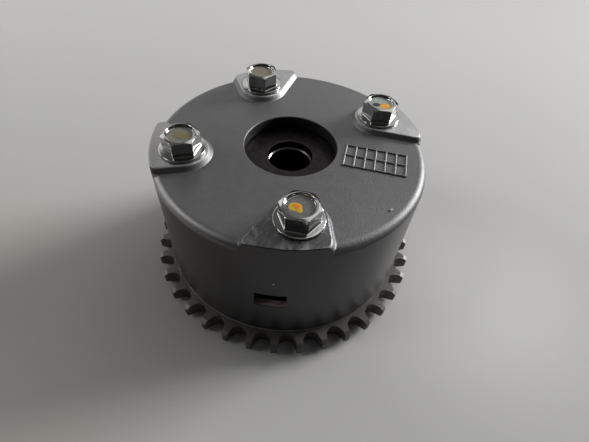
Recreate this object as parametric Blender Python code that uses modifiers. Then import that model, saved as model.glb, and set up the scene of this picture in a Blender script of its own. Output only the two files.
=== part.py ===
"""Cam phaser: a vane-type camshaft phaser with its timing sprocket.

Frame: the camshaft axis is Z and passes through the origin. The rear hub, which meets the camshaft, stands
at z = 0, and the bolt heads point up. Angles run counter-clockwise seen from above, from +X. Lengths are
metres.

The drum is one casting with four shoes inside. The sprocket's journal boss closes it from below, four flange
bolts hold the two together, and the vane rotor turns between them. The rotor is drawn at its retarded stop.
"""
import math

import bmesh
import bpy
from mathutils import Matrix, Vector

MM = 0.001

# Clearances
RUNNING_GAP = 0.3 * MM          # between faces that slide or rest on each other
SEAL_TIP_GAP = 0.2 * MM         # between a seal's tip and the face that it wipes

# Sprocket: 36 teeth for a chain of 8 mm pitch
CHAIN_PITCH = 8.0 * MM
CHAIN_ROLLER_RADIUS = 2.5 * MM
GULLET_CLEARANCE = 0.125 * MM   # of a gullet's seat round the chain's roller
TOOTH_COUNT = 36
TOOTH_FLANK_LEAN = math.radians(16)
TOOTH_TIP_RISE = 2.2 * MM       # from the pitch circle out to the tips
TOOTH_CHAMFER_DEPTH = 0.9 * MM
TOOTH_CHAMFER_REACH = 1.5 * MM
FIRST_TOOTH_ANGLE = math.radians(-89.7)
HUB_STAND_OFF = 0.8 * MM        # how far the rear hub stands below the toothed plate
PLATE_THICKNESS = 5.3 * MM
LAND_HEIGHT = 0.4 * MM
LAND_EDGE_BREAK = 0.25 * MM
SPROCKET_EDGE_BREAK = 0.4 * MM
REAR_HUB_RADIUS = 24.0 * MM
REAR_RECESS_DEPTH = 1.0 * MM
REAR_RECESS_OUTER_RADIUS = 38.0 * MM
JOURNAL_HEIGHT = 11.3 * MM      # of the boss inside the drum, above its seat

# Drum, sized outwards from the rotor's hub
HUB_RADIUS = 19.5 * MM
CHAMBER_DEPTH = 19.0 * MM       # from the hub out to the drum's inner wall
DRUM_WALL = 4.0 * MM
DRUM_HEIGHT = 42.0 * MM
DRUM_ROOF = 4.1 * MM
DRUM_EDGE_ROUND = 2.5 * MM
DRUM_FOOT_BREAK = 0.5 * MM
ROOF_HOLE_RADIUS = 14.55 * MM
ROOF_HOLE_BREAK = 0.4 * MM
EDGE_ROUND_START = math.radians(4)      # just past the wall's tangent, so that no sliver is left

# Bolts and the pads under them
BOLT_INSET = 5.8 * MM           # from the drum's inner wall in to a bolt's axis
FRONT_BOLT_ANGLE = math.radians(277.8)
WIDE_BOLT_STEP = math.radians(112.8)    # between the two bolts beside the wide chamber
BOLT_COUNT = 4
BOLT_SHANK_RADIUS = 2.9 * MM
BOLT_FLANGE_RADIUS = 6.9 * MM
BOLT_FLANGE_RIM = 0.75 * MM
BOLT_FLANGE_SLOPE = math.radians(12)
BOLT_HEX_ACROSS_FLATS = 10.0 * MM
BOLT_HEAD_HEIGHT = 5.4 * MM
BOLT_TOP_RIM = 0.9 * MM         # from the hexagon's flats in to the dish
BOLT_DISH_DEPTH = 0.8 * MM
BOLT_END_MARGIN = 0.8 * MM      # from the bolt's end to the sprocket's rear recess
BOLT_HEX_TURNS = (52.5, 18.0, 46.0, 2.5)    # degrees, to a corner, front bolt first, as tightened
PAD_HEIGHT = 1.7 * MM
PAD_MARGIN = 0.8 * MM           # of pad around a bolt's flange
PAD_DRAFT = 0.9 * MM
PAD_ROOT = 0.3 * MM             # of a pad's slope that lies below the drum's top face
PAD_EDGE_BREAK = 0.5 * MM
PAD_RUN_OUT = 0.2 * MM          # how far a pad's outline runs past the drum's wall, which then cuts it
PAD_LONG_SIDE_FLARE = math.radians(40)
PAD_SHORT_SIDE_FLARE = math.radians(0.5)
PAD_LONG_CORNER = 4.0 * MM      # from where its curve starts to the corner it rounds off
PAD_SHORT_CORNER = 3.0 * MM

# Window low in the drum's wall, with the drain channel behind it
WINDOW_ANGLE = math.radians(-92.3)
WINDOW_WIDTH = 9.5 * MM
WINDOW_HEIGHT = 6.4 * MM
WINDOW_DROP = 20.25 * MM        # from the drum's top face
WINDOW_SKIN = 1.3 * MM          # wall left outside the channel

# Shoes, rotor and vanes
SHOE_HALF_ANGLE = math.radians(15)
PHASE_RANGE = math.radians(28)
STOP_GAP_ANGLE = math.radians(0.45)         # left at each end of the range, where the wide vane stops
FREE_GAP_ANGLE = math.radians(2.35)         # left there beside the narrow vanes, which don't touch
VANE_CORNER = 0.6 * MM
CENTRE_BORE_RADIUS = 6.8 * MM
FRONT_COUNTERBORE_STEP = 0.4 * MM
FRONT_COUNTERBORE_DEPTH = 2.7 * MM
FRONT_EDGE_BREAK = 0.35 * MM
CAM_BOLT_SEAT_DEPTH = 0.2 * MM  # of the face machined for the camshaft bolt's head
CAM_BOLT_SEAT_MARGIN = 0.75 * MM        # from the roof's hole in to that face's edge
CAMSHAFT_SOCKET_RADIUS = 12.0 * MM
CAMSHAFT_SOCKET_DEPTH = 7.0 * MM
REAR_JOURNAL_WALL = 3.0 * MM    # round the camshaft socket
REAR_JOURNAL_SETBACK = 2.0 * MM
DOWEL_HOLE_RADIUS = 1.9 * MM
DOWEL_HOLE_DEPTH = 5.0 * MM
DOWEL_ANGLE = math.radians(60)

# Oil drillings from the centre bore into the chambers, one on each side of each vane
OIL_HOLE_RADIUS = 1.2 * MM
OIL_HOLE_MARGIN = 0.4 * MM      # of hub between a drilling and the vane's side
OIL_HOLE_INSET = 8.0 * MM       # of the two rows from the rotor's front and rear faces

# Seals and their leaf springs
SEAL_SLOT_WIDTH = 2.8 * MM
SEAL_HEIGHT = 2.3 * MM
SEAL_END_GAP = 0.4 * MM
LEAF_THICKNESS = 0.25 * MM
LEAF_BOW = 0.45 * MM
LEAF_SIDE_GAP = 0.4 * MM
LEAF_FLOOR_GAP = 0.5 * MM       # between a leaf's ends and the slot's floor
LEAF_SHARE_OF_SEAL = 0.86       # a leaf is a little shorter than its seal
WIDE_VANE_SEAL_OFFSET = math.radians(-15)

# Lock pin, its spring, cap and bush
LOCK_PIN_NOSE_RADIUS = 4.0 * MM
LOCK_PIN_STEP = 1.0 * MM        # from the nose out to the body
LOCK_PIN_NOSE_LENGTH = 8.4 * MM
LOCK_PIN_BODY_LENGTH = 7.2 * MM
LOCK_PIN_FLOOR = 2.6 * MM
LOCK_PIN_WALL = 1.5 * MM
LOCK_PIN_STROKE = 4.5 * MM      # into the bush, from flush with the rotor's rear face
CAP_LEDGE_WIDTH = 0.7 * MM      # of ledge round the pin's bore that the cap sits on
CAP_THICKNESS = 1.9 * MM
CAP_VENT_RADIUS = 1.0 * MM
SPRING_WIRE_RADIUS = 0.4 * MM
SPRING_SIDE_GAP = 0.35 * MM
SPRING_TURNS = 6
BUSH_WALL = 1.9 * MM
BUSH_FIT = 0.4 * MM             # round the pin's nose
BUSH_HEIGHT = 5.2 * MM
BUSH_LEAD_IN = 0.4 * MM
BUSH_VENT_RADIUS = 1.5 * MM

# Where Blender's cone tool puts a prism's first corner
FIRST_CORNER_ANGLE = math.pi / 2

# Fineness of round faces
DRUM_STEPS = 60
BORE_STEPS = 28
BOLT_STEPS = 22
SMALL_STEPS = 18
OIL_STEPS = 10
ROUND_STEPS = 4
SEAT_STEPS = 6
CORNER_STEPS = 3
VANE_STEP_ANGLE = math.radians(8)
SPRING_STEPS_PER_TURN = 10
LEAF_STEPS = 8
CUT_PAST = 1.0 * MM             # how far a cutter runs past the face that it opens
JOIN_DEPTH = 1.0 * MM           # how far a joined form runs into what it grows from

# Heights worked out from the sizes above
PLATE_REAR = HUB_STAND_OFF
PLATE_FRONT = PLATE_REAR + PLATE_THICKNESS
DRUM_SEAT = PLATE_FRONT + LAND_HEIGHT
DRUM_FOOT = DRUM_SEAT + RUNNING_GAP
DRUM_TOP = DRUM_FOOT + DRUM_HEIGHT
PAD_TOP = DRUM_TOP + PAD_HEIGHT
CEILING = DRUM_TOP - DRUM_ROOF
JOURNAL_TOP = DRUM_SEAT + JOURNAL_HEIGHT
ROTOR_REAR = JOURNAL_TOP + RUNNING_GAP
ROTOR_FRONT = CEILING - RUNNING_GAP
REAR_RECESS = PLATE_REAR + REAR_RECESS_DEPTH
BOLT_SEAT = PAD_TOP + RUNNING_GAP
BOLT_END = REAR_RECESS + BOLT_END_MARGIN
SOCKET_FLOOR = REAR_JOURNAL_SETBACK + CAMSHAFT_SOCKET_DEPTH

# Radii worked out from the sizes above
PITCH_RADIUS = CHAIN_PITCH / (2 * math.sin(math.pi / TOOTH_COUNT))
TIP_RADIUS = PITCH_RADIUS + TOOTH_TIP_RISE
GULLET_RADIUS = CHAIN_ROLLER_RADIUS + GULLET_CLEARANCE
CHAMBER_RADIUS = HUB_RADIUS + CHAMBER_DEPTH
DRUM_RADIUS = CHAMBER_RADIUS + DRUM_WALL
BOLT_CIRCLE_RADIUS = CHAMBER_RADIUS - BOLT_INSET
JOURNAL_RADIUS = CHAMBER_RADIUS - RUNNING_GAP
LAND_RADIUS = DRUM_RADIUS - LAND_EDGE_BREAK
VANE_RADIUS = CHAMBER_RADIUS - RUNNING_GAP
SHOE_TIP_RADIUS = HUB_RADIUS + RUNNING_GAP
REAR_JOURNAL_RADIUS = CAMSHAFT_SOCKET_RADIUS + REAR_JOURNAL_WALL
SPROCKET_BORE_RADIUS = REAR_JOURNAL_RADIUS + RUNNING_GAP
FRONT_COUNTERBORE_RADIUS = CENTRE_BORE_RADIUS + FRONT_COUNTERBORE_STEP
CAM_BOLT_SEAT_RADIUS = ROOF_HOLE_RADIUS - CAM_BOLT_SEAT_MARGIN
DOWEL_CIRCLE_RADIUS = (CENTRE_BORE_RADIUS + CAMSHAFT_SOCKET_RADIUS) / 2
BOLT_HOLE_RADIUS = BOLT_SHANK_RADIUS + RUNNING_GAP
BOLT_DISH_RADIUS = BOLT_HEX_ACROSS_FLATS / 2 - BOLT_TOP_RIM
PAD_RADIUS = BOLT_FLANGE_RADIUS + PAD_MARGIN
SEAL_SLOT_DEPTH = SEAL_TIP_GAP + SEAL_HEIGHT + LEAF_BOW + LEAF_THICKNESS + LEAF_FLOOR_GAP
LOCK_PIN_CIRCLE_RADIUS = (HUB_RADIUS + CHAMBER_RADIUS) / 2
LOCK_PIN_BODY_RADIUS = LOCK_PIN_NOSE_RADIUS + LOCK_PIN_STEP
LOCK_PIN_BORE_RADIUS = LOCK_PIN_BODY_RADIUS - LOCK_PIN_WALL
SPRING_MEAN_RADIUS = LOCK_PIN_BORE_RADIUS - SPRING_SIDE_GAP - SPRING_WIRE_RADIUS
CAP_RADIUS = LOCK_PIN_BODY_RADIUS + CAP_LEDGE_WIDTH
BUSH_BORE_RADIUS = LOCK_PIN_NOSE_RADIUS + BUSH_FIT
BUSH_RADIUS = BUSH_BORE_RADIUS + BUSH_WALL

# Angles worked out from the sizes above
BOLT_STEP = (2 * math.pi - WIDE_BOLT_STEP) / (BOLT_COUNT - 1)
BOLT_ANGLES = [FRONT_BOLT_ANGLE - number * BOLT_STEP for number in range(BOLT_COUNT)]
CHAMBER_SPAN = BOLT_STEP - 2 * SHOE_HALF_ANGLE
WIDE_CHAMBER_SPAN = WIDE_BOLT_STEP - 2 * SHOE_HALF_ANGLE
VANE_HALF_ANGLE = (CHAMBER_SPAN - PHASE_RANGE) / 2 - FREE_GAP_ANGLE
WIDE_VANE_HALF_ANGLE = (WIDE_CHAMBER_SPAN - PHASE_RANGE) / 2 - STOP_GAP_ANGLE
WIDE_CHAMBER_END = FRONT_BOLT_ANGLE + SHOE_HALF_ANGLE + WIDE_CHAMBER_SPAN
WIDE_VANE_ANGLE = WIDE_CHAMBER_END - STOP_GAP_ANGLE - WIDE_VANE_HALF_ANGLE
VANES = [(WIDE_VANE_ANGLE, WIDE_VANE_HALF_ANGLE, WIDE_VANE_ANGLE + WIDE_VANE_SEAL_OFFSET)]
for shoe_angle in BOLT_ANGLES[:-1]:
    centre = shoe_angle - SHOE_HALF_ANGLE - FREE_GAP_ANGLE - VANE_HALF_ANGLE
    VANES.append((centre, VANE_HALF_ANGLE, centre))

# Lock pin heights worked out from the sizes above
PIN_BOTTOM = ROTOR_REAR + RUNNING_GAP
PIN_SHOULDER = PIN_BOTTOM + LOCK_PIN_NOSE_LENGTH
PIN_TOP = PIN_SHOULDER + LOCK_PIN_BODY_LENGTH
PIN_LEDGE = PIN_SHOULDER - LOCK_PIN_STROKE - RUNNING_GAP
CAP_TOP = ROTOR_FRONT - RUNNING_GAP
CAP_BOTTOM = CAP_TOP - CAP_THICKNESS
CAP_LEDGE = CAP_BOTTOM - RUNNING_GAP
BUSH_TOP = JOURNAL_TOP - RUNNING_GAP
BUSH_BOTTOM = BUSH_TOP - BUSH_HEIGHT


def empty_scene():
    """Removes what the scene holds, so that the script gives the same result each time."""
    for item in list(bpy.data.objects):
        bpy.data.objects.remove(item, do_unlink=True)


def new_collection(name):
    """Makes a collection under the scene."""
    group = bpy.data.collections.new(name)
    bpy.context.scene.collection.children.link(group)
    return group


def metal(name, colour, roughness, metallic=1.0):
    """Makes a plain metal or plastic material."""
    made = bpy.data.materials.new(name)
    made.use_nodes = True
    shader = made.node_tree.nodes["Principled BSDF"]
    shader.inputs["Base Color"].default_value = (*colour, 1.0)
    shader.inputs["Roughness"].default_value = roughness
    shader.inputs["Metallic"].default_value = metallic
    made.diffuse_color = (*colour, 1.0)
    return made


empty_scene()
PARTS = new_collection("cam_phaser")
CUTTERS = new_collection("cam_phaser_cutters")
CAST_GREY = metal("cast_grey", (0.16, 0.16, 0.17), 0.5)
SINTERED_STEEL = metal("sintered_steel", (0.11, 0.10, 0.095), 0.45)
ROTOR_STEEL = metal("rotor_steel", (0.09, 0.075, 0.07), 0.4)
PLATED_STEEL = metal("plated_steel", (0.55, 0.56, 0.57), 0.18)
HARD_STEEL = metal("hard_steel", (0.42, 0.42, 0.44), 0.25)
SPRING_STEEL = metal("spring_steel", (0.30, 0.29, 0.28), 0.3)
SEAL_POLYMER = metal("seal_polymer", (0.035, 0.033, 0.032), 0.6, 0.0)


def place(made, group, material=None):
    """Links an object; a part gets its material, and a cutter is kept out of sight."""
    group.objects.link(made)
    if material is not None:
        made.data.materials.append(material)
    if group is CUTTERS:
        made.hide_render = True
        made.display_type = "WIRE"
    return made


def smooth(mesh, angle=math.radians(35)):
    """Shades a mesh smooth, with its corners kept sharp."""
    mesh.shade_smooth()
    mesh.set_sharp_from_angle(angle=angle)


def polar(radius, angle):
    """Gives the point at a radius and an angle in plan."""
    return (radius * math.cos(angle), radius * math.sin(angle))


def arc(centre, radius, start, end, steps):
    """Gives points along an arc in a plane, both ends included."""
    points = []
    for step in range(steps + 1):
        angle = start + (end - start) * step / steps
        points.append((centre[0] + radius * math.cos(angle), centre[1] + radius * math.sin(angle)))
    return points


def turned(name, profile, steps, group, material=None, closed=True, at=(0, 0, 0)):
    """Turns a profile of (radius, height) points round Z; its outer side runs from top to bottom."""
    mesh = bpy.data.meshes.new(name)
    edges = [(number, number + 1) for number in range(len(profile) - 1)]
    if closed:
        edges.append((len(profile) - 1, 0))
    mesh.from_pydata([(radius, 0, height) for radius, height in profile], edges, [])
    made = place(bpy.data.objects.new(name, mesh), group, material)
    made.location = at
    screw = made.modifiers.new("Turn", "SCREW")
    screw.axis = "Z"
    screw.steps = steps
    screw.render_steps = steps
    screw.use_merge_vertices = True
    screw.merge_threshold = 0.00001
    return made


def extruded(name, outline, low, high, group, material=None):
    """Extrudes a flat outline between two heights."""
    curve = bpy.data.curves.new(name, "CURVE")
    curve.dimensions = "2D"
    curve.fill_mode = "BOTH"
    curve.extrude = (high - low) / 2
    spline = curve.splines.new("POLY")
    spline.points.add(len(outline) - 1)
    for point, (x, y) in zip(spline.points, outline):
        point.co = (x, y, 0, 1)
    spline.use_cyclic_u = True
    drawn = bpy.data.objects.new(name + "_outline", curve)
    drawn.location = (0, 0, (low + high) / 2)
    bpy.context.scene.collection.objects.link(drawn)
    return as_mesh(name, drawn, group, material)


def as_mesh(name, drawn, group, material=None):
    """Makes a closed mesh object from a curve object, which it then removes."""
    bpy.context.view_layer.update()
    seen = drawn.evaluated_get(bpy.context.evaluated_depsgraph_get())
    mesh = bpy.data.meshes.new_from_object(seen)
    mesh.name = name
    mesh.transform(drawn.matrix_world)
    bpy.data.objects.remove(drawn, do_unlink=True)
    shape = bmesh.new()
    shape.from_mesh(mesh)
    bmesh.ops.remove_doubles(shape, verts=shape.verts, dist=0.000001)
    bmesh.ops.recalc_face_normals(shape, faces=shape.faces)
    shape.to_mesh(mesh)
    shape.free()
    return place(bpy.data.objects.new(name, mesh), group, material)


def lofted(name, levels, group):
    """Lofts a boss through like outlines, given as (outline, height) from the foot up."""
    shape = bmesh.new()
    rings = []
    for outline, height in levels:
        rings.append([shape.verts.new((x, y, height)) for x, y in outline])
    shape.faces.new(list(reversed(rings[0])))
    shape.faces.new(rings[-1])
    for lower, upper in zip(rings, rings[1:]):
        for number, corner in enumerate(lower):
            after = (number + 1) % len(lower)
            shape.faces.new((corner, lower[after], upper[after], upper[number]))
    bmesh.ops.recalc_face_normals(shape, faces=shape.faces)
    mesh = bpy.data.meshes.new(name)
    shape.to_mesh(mesh)
    shape.free()
    return place(bpy.data.objects.new(name, mesh), group)


def across(name, section, width, angle, group, material=None):
    """Extrudes a section of (radius, height) points sideways, half its width to each side of an angle."""
    made = extruded(name, section, -width / 2, width / 2, group, material)
    upright = Matrix(((1, 0, 0, 0), (0, 0, -1, 0), (0, 1, 0, 0), (0, 0, 0, 1)))
    made.data.transform(Matrix.Rotation(angle, 4, "Z") @ upright)
    return made


def cylinder(name, radius, low, high, group, steps, centre=(0, 0), material=None):
    """Makes an upright cylinder."""
    shape = bmesh.new()
    middle = Matrix.Translation((centre[0], centre[1], (low + high) / 2))
    bmesh.ops.create_cone(
        shape, cap_ends=True, segments=steps, radius1=radius, radius2=radius, depth=high - low, matrix=middle
    )
    mesh = bpy.data.meshes.new(name)
    shape.to_mesh(mesh)
    shape.free()
    return place(bpy.data.objects.new(name, mesh), group, material)


def block(name, size, centre, angle, group, material=None):
    """Makes a box whose X side points outwards at an angle; centre is (radius, height)."""
    shape = bmesh.new()
    bmesh.ops.create_cube(shape, size=1.0, matrix=Matrix.Diagonal((*size, 1.0)))
    turn = Matrix.Rotation(angle, 4, "Z") @ Matrix.Translation((centre[0], 0, centre[1]))
    bmesh.ops.transform(shape, matrix=turn, verts=shape.verts)
    mesh = bpy.data.meshes.new(name)
    shape.to_mesh(mesh)
    shape.free()
    return place(bpy.data.objects.new(name, mesh), group, material)


def combine(target, tool, operation):
    """Adds a live Boolean to an object."""
    change = target.modifiers.new(tool.name, "BOOLEAN")
    change.operation = operation
    change.solver = "EXACT"
    change.object = tool


def seal_slot_points(angle, mouth_radius, floor_radius):
    """Gives the four corners of a seal slot whose mouth is on one radius and whose floor is on another."""
    mouth_turn = math.asin(SEAL_SLOT_WIDTH / 2 / mouth_radius)
    floor_turn = math.asin(SEAL_SLOT_WIDTH / 2 / floor_radius)
    return [
        polar(mouth_radius, angle - mouth_turn),
        polar(floor_radius, angle - floor_turn),
        polar(floor_radius, angle + floor_turn),
        polar(mouth_radius, angle + mouth_turn),
    ]


def shoe_outline(angle):
    """Draws a shoe from inside the drum's wall to its tip, with the seal slot in the tip."""
    root = CHAMBER_RADIUS + JOIN_DEPTH
    slot = seal_slot_points(angle, SHOE_TIP_RADIUS, SHOE_TIP_RADIUS + SEAL_SLOT_DEPTH)
    slot_turn = math.asin(SEAL_SLOT_WIDTH / 2 / SHOE_TIP_RADIUS)
    low = angle - SHOE_HALF_ANGLE
    high = angle + SHOE_HALF_ANGLE
    outer = arc((0, 0), root, high, low, 2 * ROUND_STEPS)
    tip_low = arc((0, 0), SHOE_TIP_RADIUS, low, angle - slot_turn, 2)[:-1]
    tip_high = arc((0, 0), SHOE_TIP_RADIUS, angle + slot_turn, high, 2)[1:]
    return outer + tip_low + slot + tip_high


def rounded_corner(corner, start, end):
    """Gives points along the curve that rounds a corner off, from start to end."""
    points = []
    for step in range(CORNER_STEPS + 1):
        share = step / CORNER_STEPS
        points.append(tuple(start * (1 - share) ** 2 + corner * 2 * share * (1 - share) + end * share ** 2))
    return points


def pad_outline(angle, widening):
    """Draws a bolt pad: round the bolt's flange, then two sides, one flaring more, out to the wall."""
    radius = PAD_RADIUS + widening
    outer = DRUM_RADIUS + PAD_RUN_OUT + widening
    long_start = math.pi * 1.5 - PAD_LONG_SIDE_FLARE
    short_start = math.pi / 2 + PAD_SHORT_SIDE_FLARE
    outline = arc((BOLT_CIRCLE_RADIUS, 0), radius, short_start, long_start, 3 * ROUND_STEPS)
    curves = []
    for facing, side, reach in ((long_start, 1, PAD_LONG_CORNER), (short_start, -1, PAD_SHORT_CORNER)):
        from_axis = radius + BOLT_CIRCLE_RADIUS * math.cos(facing)
        corner_turn = facing + side * math.acos(from_axis / outer)
        corner = Vector(polar(outer, corner_turn))
        start = corner - Vector(polar(reach, facing + side * math.pi / 2))
        end = Vector(polar(outer, corner_turn + side * reach / outer))
        curves.append(rounded_corner(corner, start, end))
    outline += curves[0]
    outline += reversed(curves[1])
    return [tuple(Matrix.Rotation(angle, 2) @ Vector(point)) for point in outline]


def drum_waste():
    """Makes what is machined away above the drum's top face, with the pads left standing."""
    above = PAD_TOP + CUT_PAST
    past_wall = DRUM_RADIUS + CUT_PAST
    round_centre = (DRUM_RADIUS - DRUM_EDGE_ROUND, DRUM_TOP - DRUM_EDGE_ROUND)
    edge = arc(round_centre, DRUM_EDGE_ROUND, EDGE_ROUND_START, math.pi / 2, ROUND_STEPS)
    profile = [(past_wall, above), (past_wall, edge[0][1])] + edge
    profile += [(ROOF_HOLE_RADIUS - CUT_PAST, DRUM_TOP), (ROOF_HOLE_RADIUS - CUT_PAST, above)]
    waste = turned("drum_waste", profile, DRUM_STEPS, CUTTERS)
    for number, angle in enumerate(BOLT_ANGLES):
        slope = PAD_DRAFT / PAD_HEIGHT
        foot = pad_outline(angle, slope * (PAD_HEIGHT + PAD_ROOT))
        crown = pad_outline(angle, -slope * CUT_PAST)
        levels = [
            (foot, DRUM_TOP - DRUM_EDGE_ROUND - CUT_PAST),
            (foot, DRUM_TOP - PAD_ROOT),
            (crown, PAD_TOP + CUT_PAST),
        ]
        combine(waste, lofted(f"pad_{number + 1}", levels, CUTTERS), "DIFFERENCE")
    return waste


def make_housing():
    """Makes the drum: a turned cup, four shoes inside it, the bolt pads, the bolt holes and the window."""
    profile = [
        (ROOF_HOLE_RADIUS + ROOF_HOLE_BREAK, PAD_TOP),
        (DRUM_RADIUS - PAD_EDGE_BREAK, PAD_TOP),
        (DRUM_RADIUS, PAD_TOP - PAD_EDGE_BREAK),
        (DRUM_RADIUS, DRUM_FOOT + DRUM_FOOT_BREAK),
        (DRUM_RADIUS - DRUM_FOOT_BREAK, DRUM_FOOT),
        (CHAMBER_RADIUS + DRUM_FOOT_BREAK, DRUM_FOOT),
        (CHAMBER_RADIUS, DRUM_FOOT + DRUM_FOOT_BREAK),
        (CHAMBER_RADIUS, CEILING),
        (ROOF_HOLE_RADIUS + ROOF_HOLE_BREAK, CEILING),
        (ROOF_HOLE_RADIUS, CEILING + ROOF_HOLE_BREAK),
        (ROOF_HOLE_RADIUS, DRUM_TOP - ROOF_HOLE_BREAK),
        (ROOF_HOLE_RADIUS + ROOF_HOLE_BREAK, DRUM_TOP),
    ]
    housing = turned("housing", profile, DRUM_STEPS, PARTS, CAST_GREY)
    for number, angle in enumerate(BOLT_ANGLES):
        outline = shoe_outline(angle)
        shoe = extruded(f"shoe_{number}", outline, ROTOR_REAR, CEILING + JOIN_DEPTH, CUTTERS)
        combine(housing, shoe, "UNION")
    combine(housing, drum_waste(), "DIFFERENCE")
    for number, angle in enumerate(BOLT_ANGLES):
        hole = cylinder(
            f"drum_bolt_hole_{number}", BOLT_HOLE_RADIUS, ROTOR_REAR - CUT_PAST, PAD_TOP + CUT_PAST,
            CUTTERS, SMALL_STEPS, polar(BOLT_CIRCLE_RADIUS, angle),
        )
        combine(housing, hole, "DIFFERENCE")
    window_top = DRUM_TOP - WINDOW_DROP
    window_sill = window_top - WINDOW_HEIGHT
    section = [
        (DRUM_RADIUS + CUT_PAST, window_top),
        (CHAMBER_RADIUS, window_top),
        (CHAMBER_RADIUS, DRUM_FOOT - CUT_PAST),
        (DRUM_RADIUS - WINDOW_SKIN, DRUM_FOOT - CUT_PAST),
        (DRUM_RADIUS - WINDOW_SKIN, window_sill),
        (DRUM_RADIUS + CUT_PAST, window_sill),
    ]
    window = across("window_and_drain", section, WINDOW_WIDTH, WINDOW_ANGLE, CUTTERS)
    combine(housing, window, "DIFFERENCE")


def tooth_outline():
    """Draws the toothed rim: at each gullet a roller seat, then flanks that lean back to a narrow tip."""
    pitch_angle = 2 * math.pi / TOOTH_COUNT
    seat_end = math.pi / 2 - TOOTH_FLANK_LEAN
    outline = []
    for tooth in range(TOOTH_COUNT):
        gullet = FIRST_TOOTH_ANGLE + (tooth + 0.5) * pitch_angle
        seat_centre = polar(PITCH_RADIUS, gullet)
        inwards = gullet + math.pi
        seat = arc(seat_centre, GULLET_RADIUS, inwards + seat_end, inwards - seat_end, SEAT_STEPS)
        past_tip = TIP_RADIUS + CUT_PAST
        lift = past_tip - PITCH_RADIUS + GULLET_RADIUS * math.cos(seat_end)
        spread = GULLET_RADIUS * math.sin(seat_end) + lift * math.tan(TOOTH_FLANK_LEAN)
        half_turn = math.atan2(spread, past_tip)
        outline.append(polar(past_tip, gullet - half_turn))
        outline += seat
        outline.append(polar(past_tip, gullet + half_turn))
    return outline


def make_sprocket():
    """Makes the sprocket: a turned blank with its journal boss, the teeth cut round it, then its holes."""
    hub_slope = HUB_STAND_OFF + REAR_RECESS_DEPTH
    profile = [
        (SPROCKET_BORE_RADIUS + SPROCKET_EDGE_BREAK, JOURNAL_TOP),
        (JOURNAL_RADIUS - SPROCKET_EDGE_BREAK, JOURNAL_TOP),
        (JOURNAL_RADIUS, JOURNAL_TOP - SPROCKET_EDGE_BREAK),
        (JOURNAL_RADIUS, DRUM_SEAT),
        (LAND_RADIUS - LAND_EDGE_BREAK, DRUM_SEAT),
        (LAND_RADIUS, DRUM_SEAT - LAND_EDGE_BREAK),
        (LAND_RADIUS, PLATE_FRONT),
        (TIP_RADIUS - TOOTH_CHAMFER_REACH, PLATE_FRONT),
        (TIP_RADIUS, PLATE_FRONT - TOOTH_CHAMFER_DEPTH),
        (TIP_RADIUS, PLATE_REAR + TOOTH_CHAMFER_DEPTH),
        (TIP_RADIUS - TOOTH_CHAMFER_REACH, PLATE_REAR),
        (REAR_RECESS_OUTER_RADIUS, PLATE_REAR),
        (REAR_RECESS_OUTER_RADIUS - REAR_RECESS_DEPTH, REAR_RECESS),
        (REAR_HUB_RADIUS + hub_slope, REAR_RECESS),
        (REAR_HUB_RADIUS, 0),
        (SPROCKET_BORE_RADIUS + SPROCKET_EDGE_BREAK, 0),
        (SPROCKET_BORE_RADIUS, SPROCKET_EDGE_BREAK),
        (SPROCKET_BORE_RADIUS, JOURNAL_TOP - SPROCKET_EDGE_BREAK),
    ]
    sprocket = turned("sprocket", profile, DRUM_STEPS, PARTS, SINTERED_STEEL)
    sprocket.rotation_euler = (0, 0, FIRST_TOOTH_ANGLE + math.pi / DRUM_STEPS / 2)
    teeth = extruded("teeth", tooth_outline(), -CUT_PAST, JOURNAL_TOP + CUT_PAST, CUTTERS)
    combine(sprocket, teeth, "INTERSECT")
    for number, angle in enumerate(BOLT_ANGLES):
        hole = cylinder(
            f"sprocket_bolt_hole_{number}", BOLT_HOLE_RADIUS, PLATE_REAR - CUT_PAST, JOURNAL_TOP + CUT_PAST,
            CUTTERS, SMALL_STEPS, polar(BOLT_CIRCLE_RADIUS, angle),
        )
        combine(sprocket, hole, "DIFFERENCE")
    pocket_floor = BUSH_BOTTOM - RUNNING_GAP
    pocket = cylinder(
        "bush_pocket", BUSH_RADIUS + RUNNING_GAP, pocket_floor, JOURNAL_TOP + CUT_PAST,
        CUTTERS, BORE_STEPS, polar(LOCK_PIN_CIRCLE_RADIUS, WIDE_VANE_ANGLE),
    )
    combine(sprocket, pocket, "DIFFERENCE")
    vent = cylinder(
        "bush_vent", BUSH_VENT_RADIUS, -CUT_PAST, pocket_floor + CUT_PAST,
        CUTTERS, SMALL_STEPS, polar(LOCK_PIN_CIRCLE_RADIUS, WIDE_VANE_ANGLE),
    )
    combine(sprocket, vent, "DIFFERENCE")


def rotor_outline():
    """Draws the rotor's section: the hub's arcs between four vanes, each with a seal slot in its end."""
    outline = []
    ordered = sorted(VANES, key=lambda vane: vane[0] % (2 * math.pi))
    for number, (angle, half, seal_angle) in enumerate(ordered):
        corner_turn = VANE_CORNER / VANE_RADIUS
        slot_turn = math.asin(SEAL_SLOT_WIDTH / 2 / VANE_RADIUS)
        low = angle - half
        high = angle + half
        steps = max(2, round((high - low) / VANE_STEP_ANGLE))
        outline.append(polar(HUB_RADIUS, low))
        outline.append(polar(VANE_RADIUS - VANE_CORNER, low))
        outline += arc((0, 0), VANE_RADIUS, low + corner_turn, seal_angle - slot_turn, steps)[:-1]
        outline += seal_slot_points(seal_angle, VANE_RADIUS, VANE_RADIUS - SEAL_SLOT_DEPTH)
        outline += arc((0, 0), VANE_RADIUS, seal_angle + slot_turn, high - corner_turn, steps)[1:]
        outline.append(polar(VANE_RADIUS - VANE_CORNER, high))
        following = ordered[(number + 1) % len(ordered)]
        next_low = following[0] - following[1]
        while next_low < high:
            next_low += 2 * math.pi
        outline += arc((0, 0), HUB_RADIUS, high, next_low, ROUND_STEPS)[:-1]
    return outline


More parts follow.
